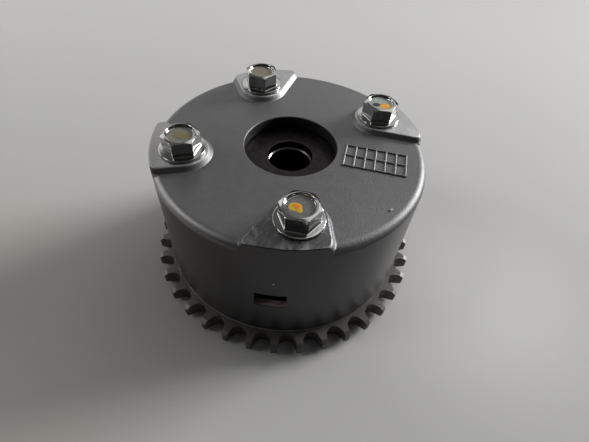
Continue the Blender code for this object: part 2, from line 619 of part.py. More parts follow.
def make_rotor():
    """Makes the rotor: the vane section, rear journal, centre bore, the lock pin's bore and the oil ways."""
    rotor = extruded("rotor", rotor_outline(), ROTOR_REAR, ROTOR_FRONT, PARTS, ROTOR_STEEL)
    journal = cylinder(
        "rear_journal", REAR_JOURNAL_RADIUS, REAR_JOURNAL_SETBACK, ROTOR_REAR + JOIN_DEPTH,
        CUTTERS, DRUM_STEPS // 2,
    )
    combine(rotor, journal, "UNION")
    bolt_seat = ROTOR_FRONT - CAM_BOLT_SEAT_DEPTH
    counterbore_floor = ROTOR_FRONT - FRONT_COUNTERBORE_DEPTH
    centre_profile = [
        (0, ROTOR_FRONT + CUT_PAST),
        (CAM_BOLT_SEAT_RADIUS, ROTOR_FRONT + CUT_PAST),
        (CAM_BOLT_SEAT_RADIUS, bolt_seat),
        (FRONT_COUNTERBORE_RADIUS, bolt_seat),
        (FRONT_COUNTERBORE_RADIUS, counterbore_floor),
        (CENTRE_BORE_RADIUS, counterbore_floor - FRONT_EDGE_BREAK),
        (CENTRE_BORE_RADIUS, SOCKET_FLOOR),
        (CAMSHAFT_SOCKET_RADIUS, SOCKET_FLOOR),
        (CAMSHAFT_SOCKET_RADIUS, REAR_JOURNAL_SETBACK - CUT_PAST),
        (0, REAR_JOURNAL_SETBACK - CUT_PAST),
    ]
    combine(rotor, turned("centre_bore", centre_profile, BORE_STEPS, CUTTERS, closed=False), "DIFFERENCE")
    pin_place = polar(LOCK_PIN_CIRCLE_RADIUS, WIDE_VANE_ANGLE)
    pin_profile = [
        (0, ROTOR_FRONT + CUT_PAST),
        (CAP_RADIUS + RUNNING_GAP, ROTOR_FRONT + CUT_PAST),
        (CAP_RADIUS + RUNNING_GAP, CAP_LEDGE),
        (LOCK_PIN_BODY_RADIUS + RUNNING_GAP, CAP_LEDGE),
        (LOCK_PIN_BODY_RADIUS + RUNNING_GAP, PIN_LEDGE),
        (LOCK_PIN_NOSE_RADIUS + RUNNING_GAP, PIN_LEDGE),
        (LOCK_PIN_NOSE_RADIUS + RUNNING_GAP, ROTOR_REAR - CUT_PAST),
        (0, ROTOR_REAR - CUT_PAST),
    ]
    pin_bore = turned("pin_bore", pin_profile, BORE_STEPS, CUTTERS, closed=False, at=(*pin_place, 0))
    combine(rotor, pin_bore, "DIFFERENCE")
    dowel_hole = cylinder(
        "dowel_hole", DOWEL_HOLE_RADIUS, SOCKET_FLOOR - CUT_PAST, SOCKET_FLOOR + DOWEL_HOLE_DEPTH,
        CUTTERS, SMALL_STEPS, polar(DOWEL_CIRCLE_RADIUS, DOWEL_ANGLE),
    )
    combine(rotor, dowel_hole, "DIFFERENCE")
    for number, (angle, half, _) in enumerate(VANES):
        beside = half + math.asin((OIL_HOLE_RADIUS + OIL_HOLE_MARGIN) / HUB_RADIUS)
        advance = oil_drilling(f"advance_drilling_{number}", angle - beside, ROTOR_REAR + OIL_HOLE_INSET)
        combine(rotor, advance, "DIFFERENCE")
        retard = oil_drilling(f"retard_drilling_{number}", angle + beside, ROTOR_FRONT - OIL_HOLE_INSET)
        combine(rotor, retard, "DIFFERENCE")


def oil_drilling(name, angle, height):
    """Makes the cutter of a radial drilling, from inside the centre bore to past the hub."""
    start = CENTRE_BORE_RADIUS - CUT_PAST
    end = HUB_RADIUS + CUT_PAST
    drilling = cylinder(name, OIL_HOLE_RADIUS, start, end, CUTTERS, OIL_STEPS)
    lay_down = Matrix.Rotation(math.pi / 2, 4, "Y")
    drilling.data.transform(Matrix.Translation((0, 0, height)) @ Matrix.Rotation(angle, 4, "Z") @ lay_down)
    return drilling


def bolt_mesh():
    """Makes one flange bolt, seated at z = 0: a hexagon with a dished, chamfered top on a flange."""
    hex_radius = BOLT_HEX_ACROSS_FLATS / math.sqrt(3)
    chamfer = hex_radius - BOLT_HEX_ACROSS_FLATS / 2
    flange_reach = BOLT_FLANGE_RADIUS - BOLT_HEX_ACROSS_FLATS / 2
    flange_top = BOLT_FLANGE_RIM + flange_reach * math.tan(BOLT_FLANGE_SLOPE)
    rim_break = BOLT_FLANGE_RIM / 4
    head = cylinder("bolt_hexagon", hex_radius, BOLT_FLANGE_RIM / 2, BOLT_HEAD_HEIGHT, CUTTERS, 6)
    form_profile = [
        (0, BOLT_HEAD_HEIGHT - BOLT_DISH_DEPTH),
        (BOLT_DISH_RADIUS - BOLT_DISH_DEPTH, BOLT_HEAD_HEIGHT - BOLT_DISH_DEPTH),
        (BOLT_DISH_RADIUS, BOLT_HEAD_HEIGHT - BOLT_DISH_DEPTH / 4),
        (BOLT_DISH_RADIUS + BOLT_DISH_DEPTH / 4, BOLT_HEAD_HEIGHT),
        (BOLT_HEX_ACROSS_FLATS / 2 - chamfer / 4, BOLT_HEAD_HEIGHT),
        (hex_radius + chamfer, BOLT_HEAD_HEIGHT - chamfer),
        (hex_radius + chamfer, -CUT_PAST),
        (0, -CUT_PAST),
    ]
    form = turned("bolt_head_form", form_profile, BOLT_STEPS, CUTTERS, closed=False)
    combine(head, form, "INTERSECT")
    length = BOLT_SEAT - BOLT_END
    shank_profile = [
        (0, flange_top),
        (BOLT_HEX_ACROSS_FLATS / 2 - chamfer, flange_top),
        (BOLT_FLANGE_RADIUS - rim_break, BOLT_FLANGE_RIM),
        (BOLT_FLANGE_RADIUS, BOLT_FLANGE_RIM - rim_break),
        (BOLT_FLANGE_RADIUS, rim_break),
        (BOLT_FLANGE_RADIUS - rim_break, 0),
        (BOLT_SHANK_RADIUS, 0),
        (BOLT_SHANK_RADIUS, -length + BOLT_SHANK_RADIUS / 4),
        (BOLT_SHANK_RADIUS * 3 / 4, -length),
        (0, -length),
    ]
    shank = turned("bolt_shank", shank_profile, BOLT_STEPS, CUTTERS, closed=False)
    combine(head, shank, "UNION")
    bpy.context.view_layer.update()
    seen = head.evaluated_get(bpy.context.evaluated_depsgraph_get())
    mesh = bpy.data.meshes.new_from_object(seen)
    mesh.name = "drum_bolt"
    smooth(mesh)
    return mesh


def make_bolts():
    """Places the four bolts, each turned as it was tightened."""
    mesh = bolt_mesh()
    for number, (angle, turn) in enumerate(zip(BOLT_ANGLES, BOLT_HEX_TURNS)):
        bolt = place(bpy.data.objects.new(f"drum_bolt_{number + 1}", mesh), PARTS)
        bolt.location = (*polar(BOLT_CIRCLE_RADIUS, angle), BOLT_SEAT)
        bolt.rotation_euler = (0, 0, math.radians(turn) - FIRST_CORNER_ANGLE)
    mesh.materials.append(PLATED_STEEL)


def make_seal(name, angle, tip_radius, inwards):
    """Makes a seal bar and the bowed leaf behind it; inwards is 1 where its slot's floor is nearer Z."""
    low = ROTOR_REAR + SEAL_END_GAP
    high = ROTOR_FRONT - SEAL_END_GAP
    middle = (low + high) / 2
    width = SEAL_SLOT_WIDTH - 2 * RUNNING_GAP
    back_radius = tip_radius - inwards * SEAL_HEIGHT
    seal_centre = ((tip_radius + back_radius) / 2, middle)
    block(name, (SEAL_HEIGHT, width, high - low), seal_centre, angle, PARTS, SEAL_POLYMER)
    length = (high - low) * LEAF_SHARE_OF_SEAL
    crown = back_radius - inwards * RUNNING_GAP
    near = []
    far = []
    for step in range(LEAF_STEPS + 1):
        along = step / LEAF_STEPS * 2 - 1
        radius = crown - inwards * LEAF_BOW * along * along
        near.append((radius, middle + along * length / 2))
        far.append((radius - inwards * LEAF_THICKNESS, middle + along * length / 2))
    leaf_width = SEAL_SLOT_WIDTH - 2 * LEAF_SIDE_GAP
    across(name + "_spring", near + list(reversed(far)), leaf_width, angle, PARTS, SPRING_STEEL)


def make_seals():
    """Makes the seals of the shoes, which wipe the hub, and of the vanes, which wipe the drum."""
    for number, angle in enumerate(BOLT_ANGLES):
        make_seal(f"shoe_seal_{number + 1}", angle, HUB_RADIUS + SEAL_TIP_GAP, -1)
    for number, vane in enumerate(VANES):
        make_seal(f"vane_seal_{number + 1}", vane[2], CHAMBER_RADIUS - SEAL_TIP_GAP, 1)


def make_lock_pin():
    """Makes the stepped, hollow lock pin, flush with the rotor's rear face as when it is released."""
    edge = RUNNING_GAP
    profile = [
        (0, PIN_BOTTOM + LOCK_PIN_FLOOR),
        (LOCK_PIN_BORE_RADIUS, PIN_BOTTOM + LOCK_PIN_FLOOR),
        (LOCK_PIN_BORE_RADIUS, PIN_TOP),
        (LOCK_PIN_BODY_RADIUS - edge, PIN_TOP),
        (LOCK_PIN_BODY_RADIUS, PIN_TOP - edge),
        (LOCK_PIN_BODY_RADIUS, PIN_SHOULDER),
        (LOCK_PIN_NOSE_RADIUS, PIN_SHOULDER),
        (LOCK_PIN_NOSE_RADIUS, PIN_BOTTOM + 2 * edge),
        (LOCK_PIN_NOSE_RADIUS - 2 * edge, PIN_BOTTOM),
        (0, PIN_BOTTOM),
    ]
    at_pin = (*polar(LOCK_PIN_CIRCLE_RADIUS, WIDE_VANE_ANGLE), 0)
    turned("lock_pin", profile, BORE_STEPS, PARTS, HARD_STEEL, closed=False, at=at_pin)


def make_lock_pin_cap():
    """Makes the vented cap that closes the lock pin's bore and carries its spring."""
    profile = [
        (CAP_VENT_RADIUS, CAP_TOP),
        (CAP_RADIUS, CAP_TOP),
        (CAP_RADIUS, CAP_BOTTOM),
        (CAP_VENT_RADIUS, CAP_BOTTOM),
    ]
    at_pin = (*polar(LOCK_PIN_CIRCLE_RADIUS, WIDE_VANE_ANGLE), 0)
    turned("lock_pin_cap", profile, BORE_STEPS, PARTS, HARD_STEEL, at=at_pin)


def make_lock_pin_bush():
    """Makes the hardened bush in the sprocket that the lock pin drops into."""
    profile = [
        (BUSH_BORE_RADIUS + BUSH_LEAD_IN, BUSH_TOP),
        (BUSH_RADIUS, BUSH_TOP),
        (BUSH_RADIUS, BUSH_BOTTOM),
        (BUSH_BORE_RADIUS, BUSH_BOTTOM),
        (BUSH_BORE_RADIUS, BUSH_TOP - BUSH_LEAD_IN),
    ]
    at_pin = (*polar(LOCK_PIN_CIRCLE_RADIUS, WIDE_VANE_ANGLE), 0)
    turned("lock_pin_bush", profile, BORE_STEPS, PARTS, HARD_STEEL, at=at_pin)


def make_lock_pin_spring():
    """Winds the coil spring between the lock pin's floor and the cap."""
    low = PIN_BOTTOM + LOCK_PIN_FLOOR + RUNNING_GAP + SPRING_WIRE_RADIUS
    high = CAP_BOTTOM - RUNNING_GAP - SPRING_WIRE_RADIUS
    count = SPRING_TURNS * SPRING_STEPS_PER_TURN
    curve = bpy.data.curves.new("lock_pin_spring", "CURVE")
    curve.dimensions = "3D"
    curve.bevel_depth = SPRING_WIRE_RADIUS
    curve.bevel_resolution = 1
    curve.use_fill_caps = True
    spline = curve.splines.new("POLY")
    spline.points.add(count)
    for step, point in enumerate(spline.points):
        angle = 2 * math.pi * step / SPRING_STEPS_PER_TURN
        height = low + (high - low) * step / count
        point.co = (*polar(SPRING_MEAN_RADIUS, angle), height, 1)
    drawn = bpy.data.objects.new("lock_pin_spring_wire", curve)
    drawn.location = (*polar(LOCK_PIN_CIRCLE_RADIUS, WIDE_VANE_ANGLE), 0)
    bpy.context.scene.collection.objects.link(drawn)
    as_mesh("lock_pin_spring", drawn, PARTS, SPRING_STEEL)


make_housing()
make_sprocket()
make_lock_pin_bush()
make_rotor()
make_bolts()
make_seals()
make_lock_pin()
make_lock_pin_spring()
make_lock_pin_cap()
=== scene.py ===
"""Dresses a vane-type cam phaser: cast drum, toothed sprocket, plated flange bolts and the rotor inside.

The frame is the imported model's own: Z is the camshaft axis, z = 0 is the sprocket's rear hub, the bolt
heads point up and the camera stands on the -Y side. Sizes are written in metres through MM, and angles
run counter-clockwise seen from above.
"""
import math

import bmesh
import bpy
import numpy as np
from mathutils import Matrix, Vector


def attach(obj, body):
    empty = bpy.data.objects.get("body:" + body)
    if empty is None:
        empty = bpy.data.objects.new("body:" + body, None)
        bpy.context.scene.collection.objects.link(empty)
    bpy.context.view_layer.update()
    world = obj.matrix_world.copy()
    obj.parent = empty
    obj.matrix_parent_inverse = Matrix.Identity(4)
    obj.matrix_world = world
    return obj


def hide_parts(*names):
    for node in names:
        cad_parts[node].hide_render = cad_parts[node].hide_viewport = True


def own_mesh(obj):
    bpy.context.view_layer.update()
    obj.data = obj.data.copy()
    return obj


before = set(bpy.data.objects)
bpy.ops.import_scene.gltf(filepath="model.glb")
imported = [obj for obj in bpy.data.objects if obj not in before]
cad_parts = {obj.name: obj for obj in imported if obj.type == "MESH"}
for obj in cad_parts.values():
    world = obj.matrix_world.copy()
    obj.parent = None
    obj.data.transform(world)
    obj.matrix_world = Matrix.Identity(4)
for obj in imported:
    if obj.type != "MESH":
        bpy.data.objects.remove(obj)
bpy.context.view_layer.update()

MM = 0.001

# Heights
PLATE_REAR = 0.8 * MM
PLATE_FRONT = 6.1 * MM
DRUM_SEAT = 6.5 * MM
DRUM_FOOT = 6.8 * MM
DRUM_TOP = 48.8 * MM
PAD_TOP = 50.5 * MM
CEILING = 44.7 * MM
JOURNAL_TOP = 17.8 * MM
ROTOR_REAR = 18.1 * MM
ROTOR_FRONT = 44.4 * MM
REAR_RECESS = 1.8 * MM
WINDOW_TOP = 28.55 * MM
SILL = 22.15 * MM
BOLT_SEAT = 50.55 * MM
BOLT_END = 2.6 * MM
SOCKET_FLOOR = 9.0 * MM
REAR_JOURNAL_END = 2.0 * MM
BUSH_FLOOR = 12.0 * MM
DOWEL_HOLE_END = 14.0 * MM
PIN_SHOULDER = 22.0 * MM
CAP_LEDGE = 41.9 * MM
ADVANCE_PORTS = 26.1 * MM
RETARD_PORTS = 36.4 * MM

# Radii
DRUM_RADIUS = 42.5 * MM
CHAMBER_RADIUS = 38.5 * MM
JOURNAL_RADIUS = 38.2 * MM
ROOF_HOLE_RADIUS = 14.55 * MM
LAND_RADIUS = 42.5 * MM
PITCH_RADIUS = 45.895 * MM
TIP_RADIUS = 48.095 * MM
GULLET_RADIUS = 2.625 * MM
PLATE_FLAT_RADIUS = 43.1 * MM
HUB_RADIUS = 19.5 * MM
BOLT_CIRCLE_RADIUS = 32.7 * MM
SPROCKET_BORE_RADIUS = 15.3 * MM
REAR_HUB_RADIUS = 24.0 * MM
REAR_RECESS_RADIUS = 38.0 * MM
REAR_JOURNAL_RADIUS = 15.0 * MM
CAMSHAFT_SOCKET_RADIUS = 12.0 * MM
CENTRE_BORE_RADIUS = 6.8 * MM
COUNTERBORE_RADIUS = 7.2 * MM
SEAT_RECESS_RADIUS = 13.8 * MM
BOLT_HOLE_RADIUS = 3.2 * MM
SHANK_RADIUS = 2.9 * MM
PAD_RADIUS = 7.7 * MM
PIN_CIRCLE_RADIUS = 29.0 * MM
BUSH_POCKET_RADIUS = 6.6 * MM
BUSH_VENT_RADIUS = 1.5 * MM
CAP_BORE_RADIUS = 6.0 * MM
PIN_BORE_RADIUS = 5.3 * MM
PIN_TIP_BORE_RADIUS = 4.3 * MM
OIL_HOLE_RADIUS = 1.2 * MM
DOWEL_HOLE_RADIUS = 1.9 * MM
DOWEL_CIRCLE_RADIUS = 9.4 * MM

# Depths, widths and edges
COUNTERBORE_DEPTH = 2.7 * MM
SEAT_RECESS_DEPTH = 0.2 * MM
DISH_FLOOR = 4.86 * MM
DRUM_EDGE_ROUND = 2.5 * MM
ROOF_HOLE_BREAK = 0.22 * MM
PAD_EDGE_BREAK = 0.45 * MM
FOOT_BREAK = 0.5 * MM
WINDOW_HALF_WIDTH = 4.75 * MM
WINDOW_SKIN = 2.3 * MM
SEAL_SLOT_HALF = 1.4 * MM
SEAL_SLOT_DEPTH = 3.7 * MM
VANE_CLEARANCE = 0.3 * MM
HEXAGON_HALF_FLATS = 5.0 * MM
TOOTH_BEVEL_WIDTH = 1.5 * MM
GRID_LENGTH = 18.7 * MM
GRID_WIDTH = 9.6 * MM
GRID_RISE = 0.42 * MM
GRID_CENTRE = (26.19 * MM, -4.31 * MM)

# Angles
FIRST_TOOTH = math.radians(-89.7)
FLANK_LEAN = math.radians(16)
TOOTH_COUNT = 36
BOLT_ANGLES = np.radians([277.8, 195.4, 113.0, 30.6])
BOLT_TURNS = np.radians([52.5, 18.0, 46.0, 2.5])
PAD_LONG_SIDE = math.radians(230)
PAD_SHORT_SIDE = math.radians(90.5)
FLANGE_SLOPE = math.tan(math.radians(4.5))
WINDOW_ANGLE = math.radians(-92.3)
SHOE_HALF = math.radians(15)
WIDE_VANE = math.radians(348.2)
WIDE_VANE_HALF = math.radians(26.95)
NARROW_VANES = np.radians([250.6, 168.2, 85.8])
NARROW_VANE_HALF = math.radians(9.85)
WIDE_VANE_SEAL = math.radians(333.2)
DOWEL_ANGLE = math.radians(60)
GRID_TURN = math.radians(-8.9)

# Fineness
DRUM_STEPS = 288
BOLT_STEPS = 144
BORE_STEPS = 128
PIN_STEPS = 64
SMALL_STEPS = 48
CUT_PAST = 1.0 * MM
SAME_POINT = 0.0005 * MM
SAME_CUT_POINT = 0.004 * MM

PIN_PLACE = np.array([math.cos(WIDE_VANE), math.sin(WIDE_VANE)]) * PIN_CIRCLE_RADIUS


# Meshes

def polar(radius, angle):
    """Points at radii and angles in plan: x = r cos a, y = r sin a."""
    return np.stack(np.broadcast_arrays(radius * np.cos(angle), radius * np.sin(angle)), -1)


def arc(centre, radius, start, end, steps):
    """Points along an arc, centre + radius (cos a, sin a), both ends included."""
    return np.asarray(centre) + polar(radius, np.linspace(start, end, steps + 1))


def bend(start, corner, end, steps):
    """Points on the curve (1-t)(1-t) start + 2t(1-t) corner + t t end, both ends included."""
    t = np.linspace(0, 1, steps + 1)[:, None]
    return (1 - t) ** 2 * start + 2 * t * (1 - t) * corner + t ** 2 * end


def rounded(corners, steps=5):
    """A line of (x, y, reach) corners: one with a reach becomes a bend that starts and ends that far off."""
    points = []
    flat = np.array([corner[:2] for corner in corners])
    for number, (_, _, reach) in enumerate(corners):
        here = flat[number]
        if reach == 0 or number in (0, len(corners) - 1):
            points.append(here[None])
            continue
        before = flat[number - 1] - here
        after = flat[number + 1] - here
        start = here + before * reach / np.linalg.norm(before)
        end = here + after * reach / np.linalg.norm(after)
        points.append(bend(start, here, end, steps))
    return np.concatenate(points)


def grid_faces(rows, columns, wrap_rows, wrap_columns):
    """The four-sided faces between the points of a grid, which may close on itself either way."""
    row, column = np.meshgrid(
        np.arange(rows if wrap_rows else rows - 1),
        np.arange(columns if wrap_columns else columns - 1), indexing="ij",
    )
    below = (row + 1) % rows
    after = (column + 1) % columns
    corners = [
        row * columns + column, row * columns + after,
        below * columns + after, below * columns + column,
    ]
    return np.stack(corners, -1).reshape(-1, 4).tolist()


def mend(mesh, distance=SAME_POINT):
    """Merges doubled points, which closes seams and poles, and turns the faces outwards."""
    shape = bmesh.new()
    shape.from_mesh(mesh)
    bmesh.ops.remove_doubles(shape, verts=shape.verts, dist=distance)
    bmesh.ops.dissolve_degenerate(shape, edges=shape.edges, dist=distance)
    bmesh.ops.recalc_face_normals(shape, faces=shape.faces)
    shape.to_mesh(mesh)
    shape.free()


def surface(name, points, wrap_rows=False, wrap_columns=True, capped=False):
    """Makes an object of a grid of points; capped closes its first and last rows with a flat face each."""
    rows, columns = points.shape[:2]
    faces = grid_faces(rows, columns, wrap_rows, wrap_columns)
    if capped:
        faces.append(list(range(columns)))
        faces.append(list(range((rows - 1) * columns, rows * columns)))
    mesh = bpy.data.meshes.new(name)
    mesh.from_pydata(points.reshape(-1, 3).tolist(), [], faces)
    made = bpy.data.objects.new(name, mesh)
    bpy.context.scene.collection.objects.link(made)
    mend(mesh)
    return made


def turned(name, profile, steps=DRUM_STEPS, closed=True, centre=(0, 0)):
    """Turns a profile round an upright axis: its point (r, z) at angle a stands at (r cos a, r sin a, z)."""
    profile = np.asarray(profile)[:, :2]
    angle = np.arange(steps) * 2 * math.pi / steps
    plan = polar(profile[:, :1], angle[None])
    height = np.broadcast_to(profile[:, 1:2], plan.shape[:2])
    points = np.dstack([plan[..., 0] + centre[0], plan[..., 1] + centre[1], height])
    return surface(name, points, wrap_rows=closed)


def stacked(name, outlines, heights):
    """A solid through like outlines, one at each height, with flat ends."""
    levels = [
        np.column_stack([outline, np.full(len(outline), height)])
        for outline, height in zip(outlines, heights)
    ]
    return surface(name, np.array(levels), capped=True)


def drill(name, radius, low, high, centre=(0, 0), steps=SMALL_STEPS):
    """An upright round cutter: a circle about its centre, carried from low to high."""
    outline = polar(radius, np.arange(steps) * 2 * math.pi / steps) + np.asarray(centre)
    return stacked(name, [outline, outline], [low, high])


def carve(target, steps):
    """Joins or cuts a solid with others, in order, and leaves one mesh; steps are (operation, tool)."""
    for operation, tool in steps:
        change = target.modifiers.new(tool.name, "BOOLEAN")
        change.operation = operation
        change.solver = "EXACT"
        change.object = tool
    bpy.context.view_layer.update()
    seen = target.evaluated_get(bpy.context.evaluated_depsgraph_get())
    mesh = bpy.data.meshes.new_from_object(seen)
    mesh.name = target.name
    target.modifiers.clear()
    target.data = mesh
    for _, tool in steps:
        bpy.data.objects.remove(tool, do_unlink=True)
    mend(mesh, SAME_CUT_POINT)
    return target


def shade(made, angle=38):
    """Shades smooth with sharp corners, and lets large flat faces set the shading next to small rounds."""
    made.data.shade_smooth()
    made.data.set_sharp_from_angle(angle=math.radians(angle))
    even = made.modifiers.new("Even shading", "WEIGHTED_NORMAL")
    even.mode = "FACE_AREA"
    even.weight = 80
    even.keep_sharp = True
    return made


def dress(made, body, slot, material, *nodes):
    """Hangs a piece on its body, gives it its material, and hides the solids that it stands for."""
    made.data.materials.clear()
    made.data.materials.append(material)
    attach(made, body)
    if nodes:
        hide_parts(*nodes)


# Materials

class Value:
    """A socket's output; arithmetic on it, and on it and numbers, adds the Math nodes that work it out."""

    def __init__(self, paint, output):
        self.paint = paint
        self.output = output

    def math(self, operation, *others):
        return self.paint.node("Math", {"operation": operation}, self, *others)

    def __add__(self, other):
        return self.math("ADD", other)

    def __radd__(self, other):
        return self.math("ADD", other)

    def __sub__(self, other):
        return self.math("SUBTRACT", other)

    def __rsub__(self, other):
        return self.paint.node("Math", {"operation": "SUBTRACT"}, other, self)

    def __mul__(self, other):
        return self.math("MULTIPLY", other)

    def __rmul__(self, other):
        return self.math("MULTIPLY", other)

    def __pow__(self, other):
        return self.math("POWER", other)

    def most(self, other):
        return self.math("MAXIMUM", other)

    def size(self):
        return self.math("ABSOLUTE")

    def sine(self):
        return self.math("SINE")

    def rise(self, low, high):
        """0 up to low and 1 from high, with a soft step between; low may be the greater."""
        if low > high:
            return 1.0 - self.rise(high, low)
        settings = {"interpolation_type": "SMOOTHSTEP"}
        return self.paint.node("MapRange", settings, self, low, high, 0.0, 1.0)


class Nodes:
    """A node tree under way, with short calls for the nodes that it needs."""

    def __init__(self, tree):
        self.tree = tree

    def node(self, kind, settings, *inputs, output=0, **named):
        """Adds a node of a kind with its settings, then fills its sockets with numbers, colours or links."""
        made = self.tree.nodes.new("ShaderNode" + kind)
        for key, value in settings.items():
            setattr(made, key, value)
        for key, value in list(enumerate(inputs)) + list(named.items()):
            self.fill(made.inputs[key], value)
        return Value(self, made.outputs[output])

    def fill(self, socket, value):
        """Links a value to a socket, or sets a number, colour or vector there."""
        if isinstance(value, Value):
            self.tree.links.new(value.output, socket)
        else:
            socket.default_value = value

    def parts(self, vector):
        """The x, y and z of a vector."""
        split = self.tree.nodes.new("ShaderNodeSeparateXYZ")
        self.fill(split.inputs[0], vector)
        return [Value(self, output) for output in split.outputs]


class Paint(Nodes):
    """A material under way; its colour, roughness and metallic hold until a value is set over them."""

    def __init__(self, name, colour, roughness, metallic):
        self.material = bpy.data.materials.new(name)
        self.material.use_nodes = True
        super().__init__(self.material.node_tree)
        self.shader = self.tree.nodes["Principled BSDF"]
        self.set("Base Color", (*colour, 1.0))
        self.set("Roughness", roughness)
        self.set("Metallic", metallic)
        self.coordinates = self.node("TexCoord", {}, output="Object")
        self.material.diffuse_color = (*colour, 1.0)

    def set(self, socket, value):
        """Links a value to one of the shader's own sockets, or sets it there."""
        self.fill(self.shader.inputs[socket], value)

    def axes(self):
        """The piece's x, y and z."""
        return self.parts(self.coordinates)

    def noise(self, scale, detail=3.0, roughness=0.5, stretch=None):
        """Soft noise from 0 to 1 at a scale in cells per metre; stretch scales it by axis."""
        place = self.coordinates
        if stretch is not None:
            place = self.node("VectorMath", {"operation": "MULTIPLY"}, place, stretch)
        return self.node("TexNoise", {}, Vector=place, Scale=scale, Detail=detail, Roughness=roughness)

    def away(self, point):
        """Distance to a point."""
        return self.node("VectorMath", {"operation": "DISTANCE"}, self.coordinates, point, output="Value")

    def blend(self, mask, low, high):
        """A colour that goes from low to high with a mask."""
        made = self.tree.nodes.new("ShaderNodeMix")
        made.data_type = "RGBA"
        factor, first, second, result = 0, 6, 7, 2
        self.fill(made.inputs[factor], mask)
        for index, colour in ((first, low), (second, high)):
            self.fill(made.inputs[index], colour if isinstance(colour, Value) else (*colour, 1.0))
        return Value(self, made.outputs[result])

    def bump(self, height, distance, strength):
        """Shades a height field; the height is in 0 to 1 and the distance in metres."""
        inputs = {"Strength": strength, "Distance": distance, "Height": height}
        self.set("Normal", self.node("Bump", {}, output="Normal", **inputs))


def grey(tone):
    """A colour with no tint."""
    return (tone, tone, tone)


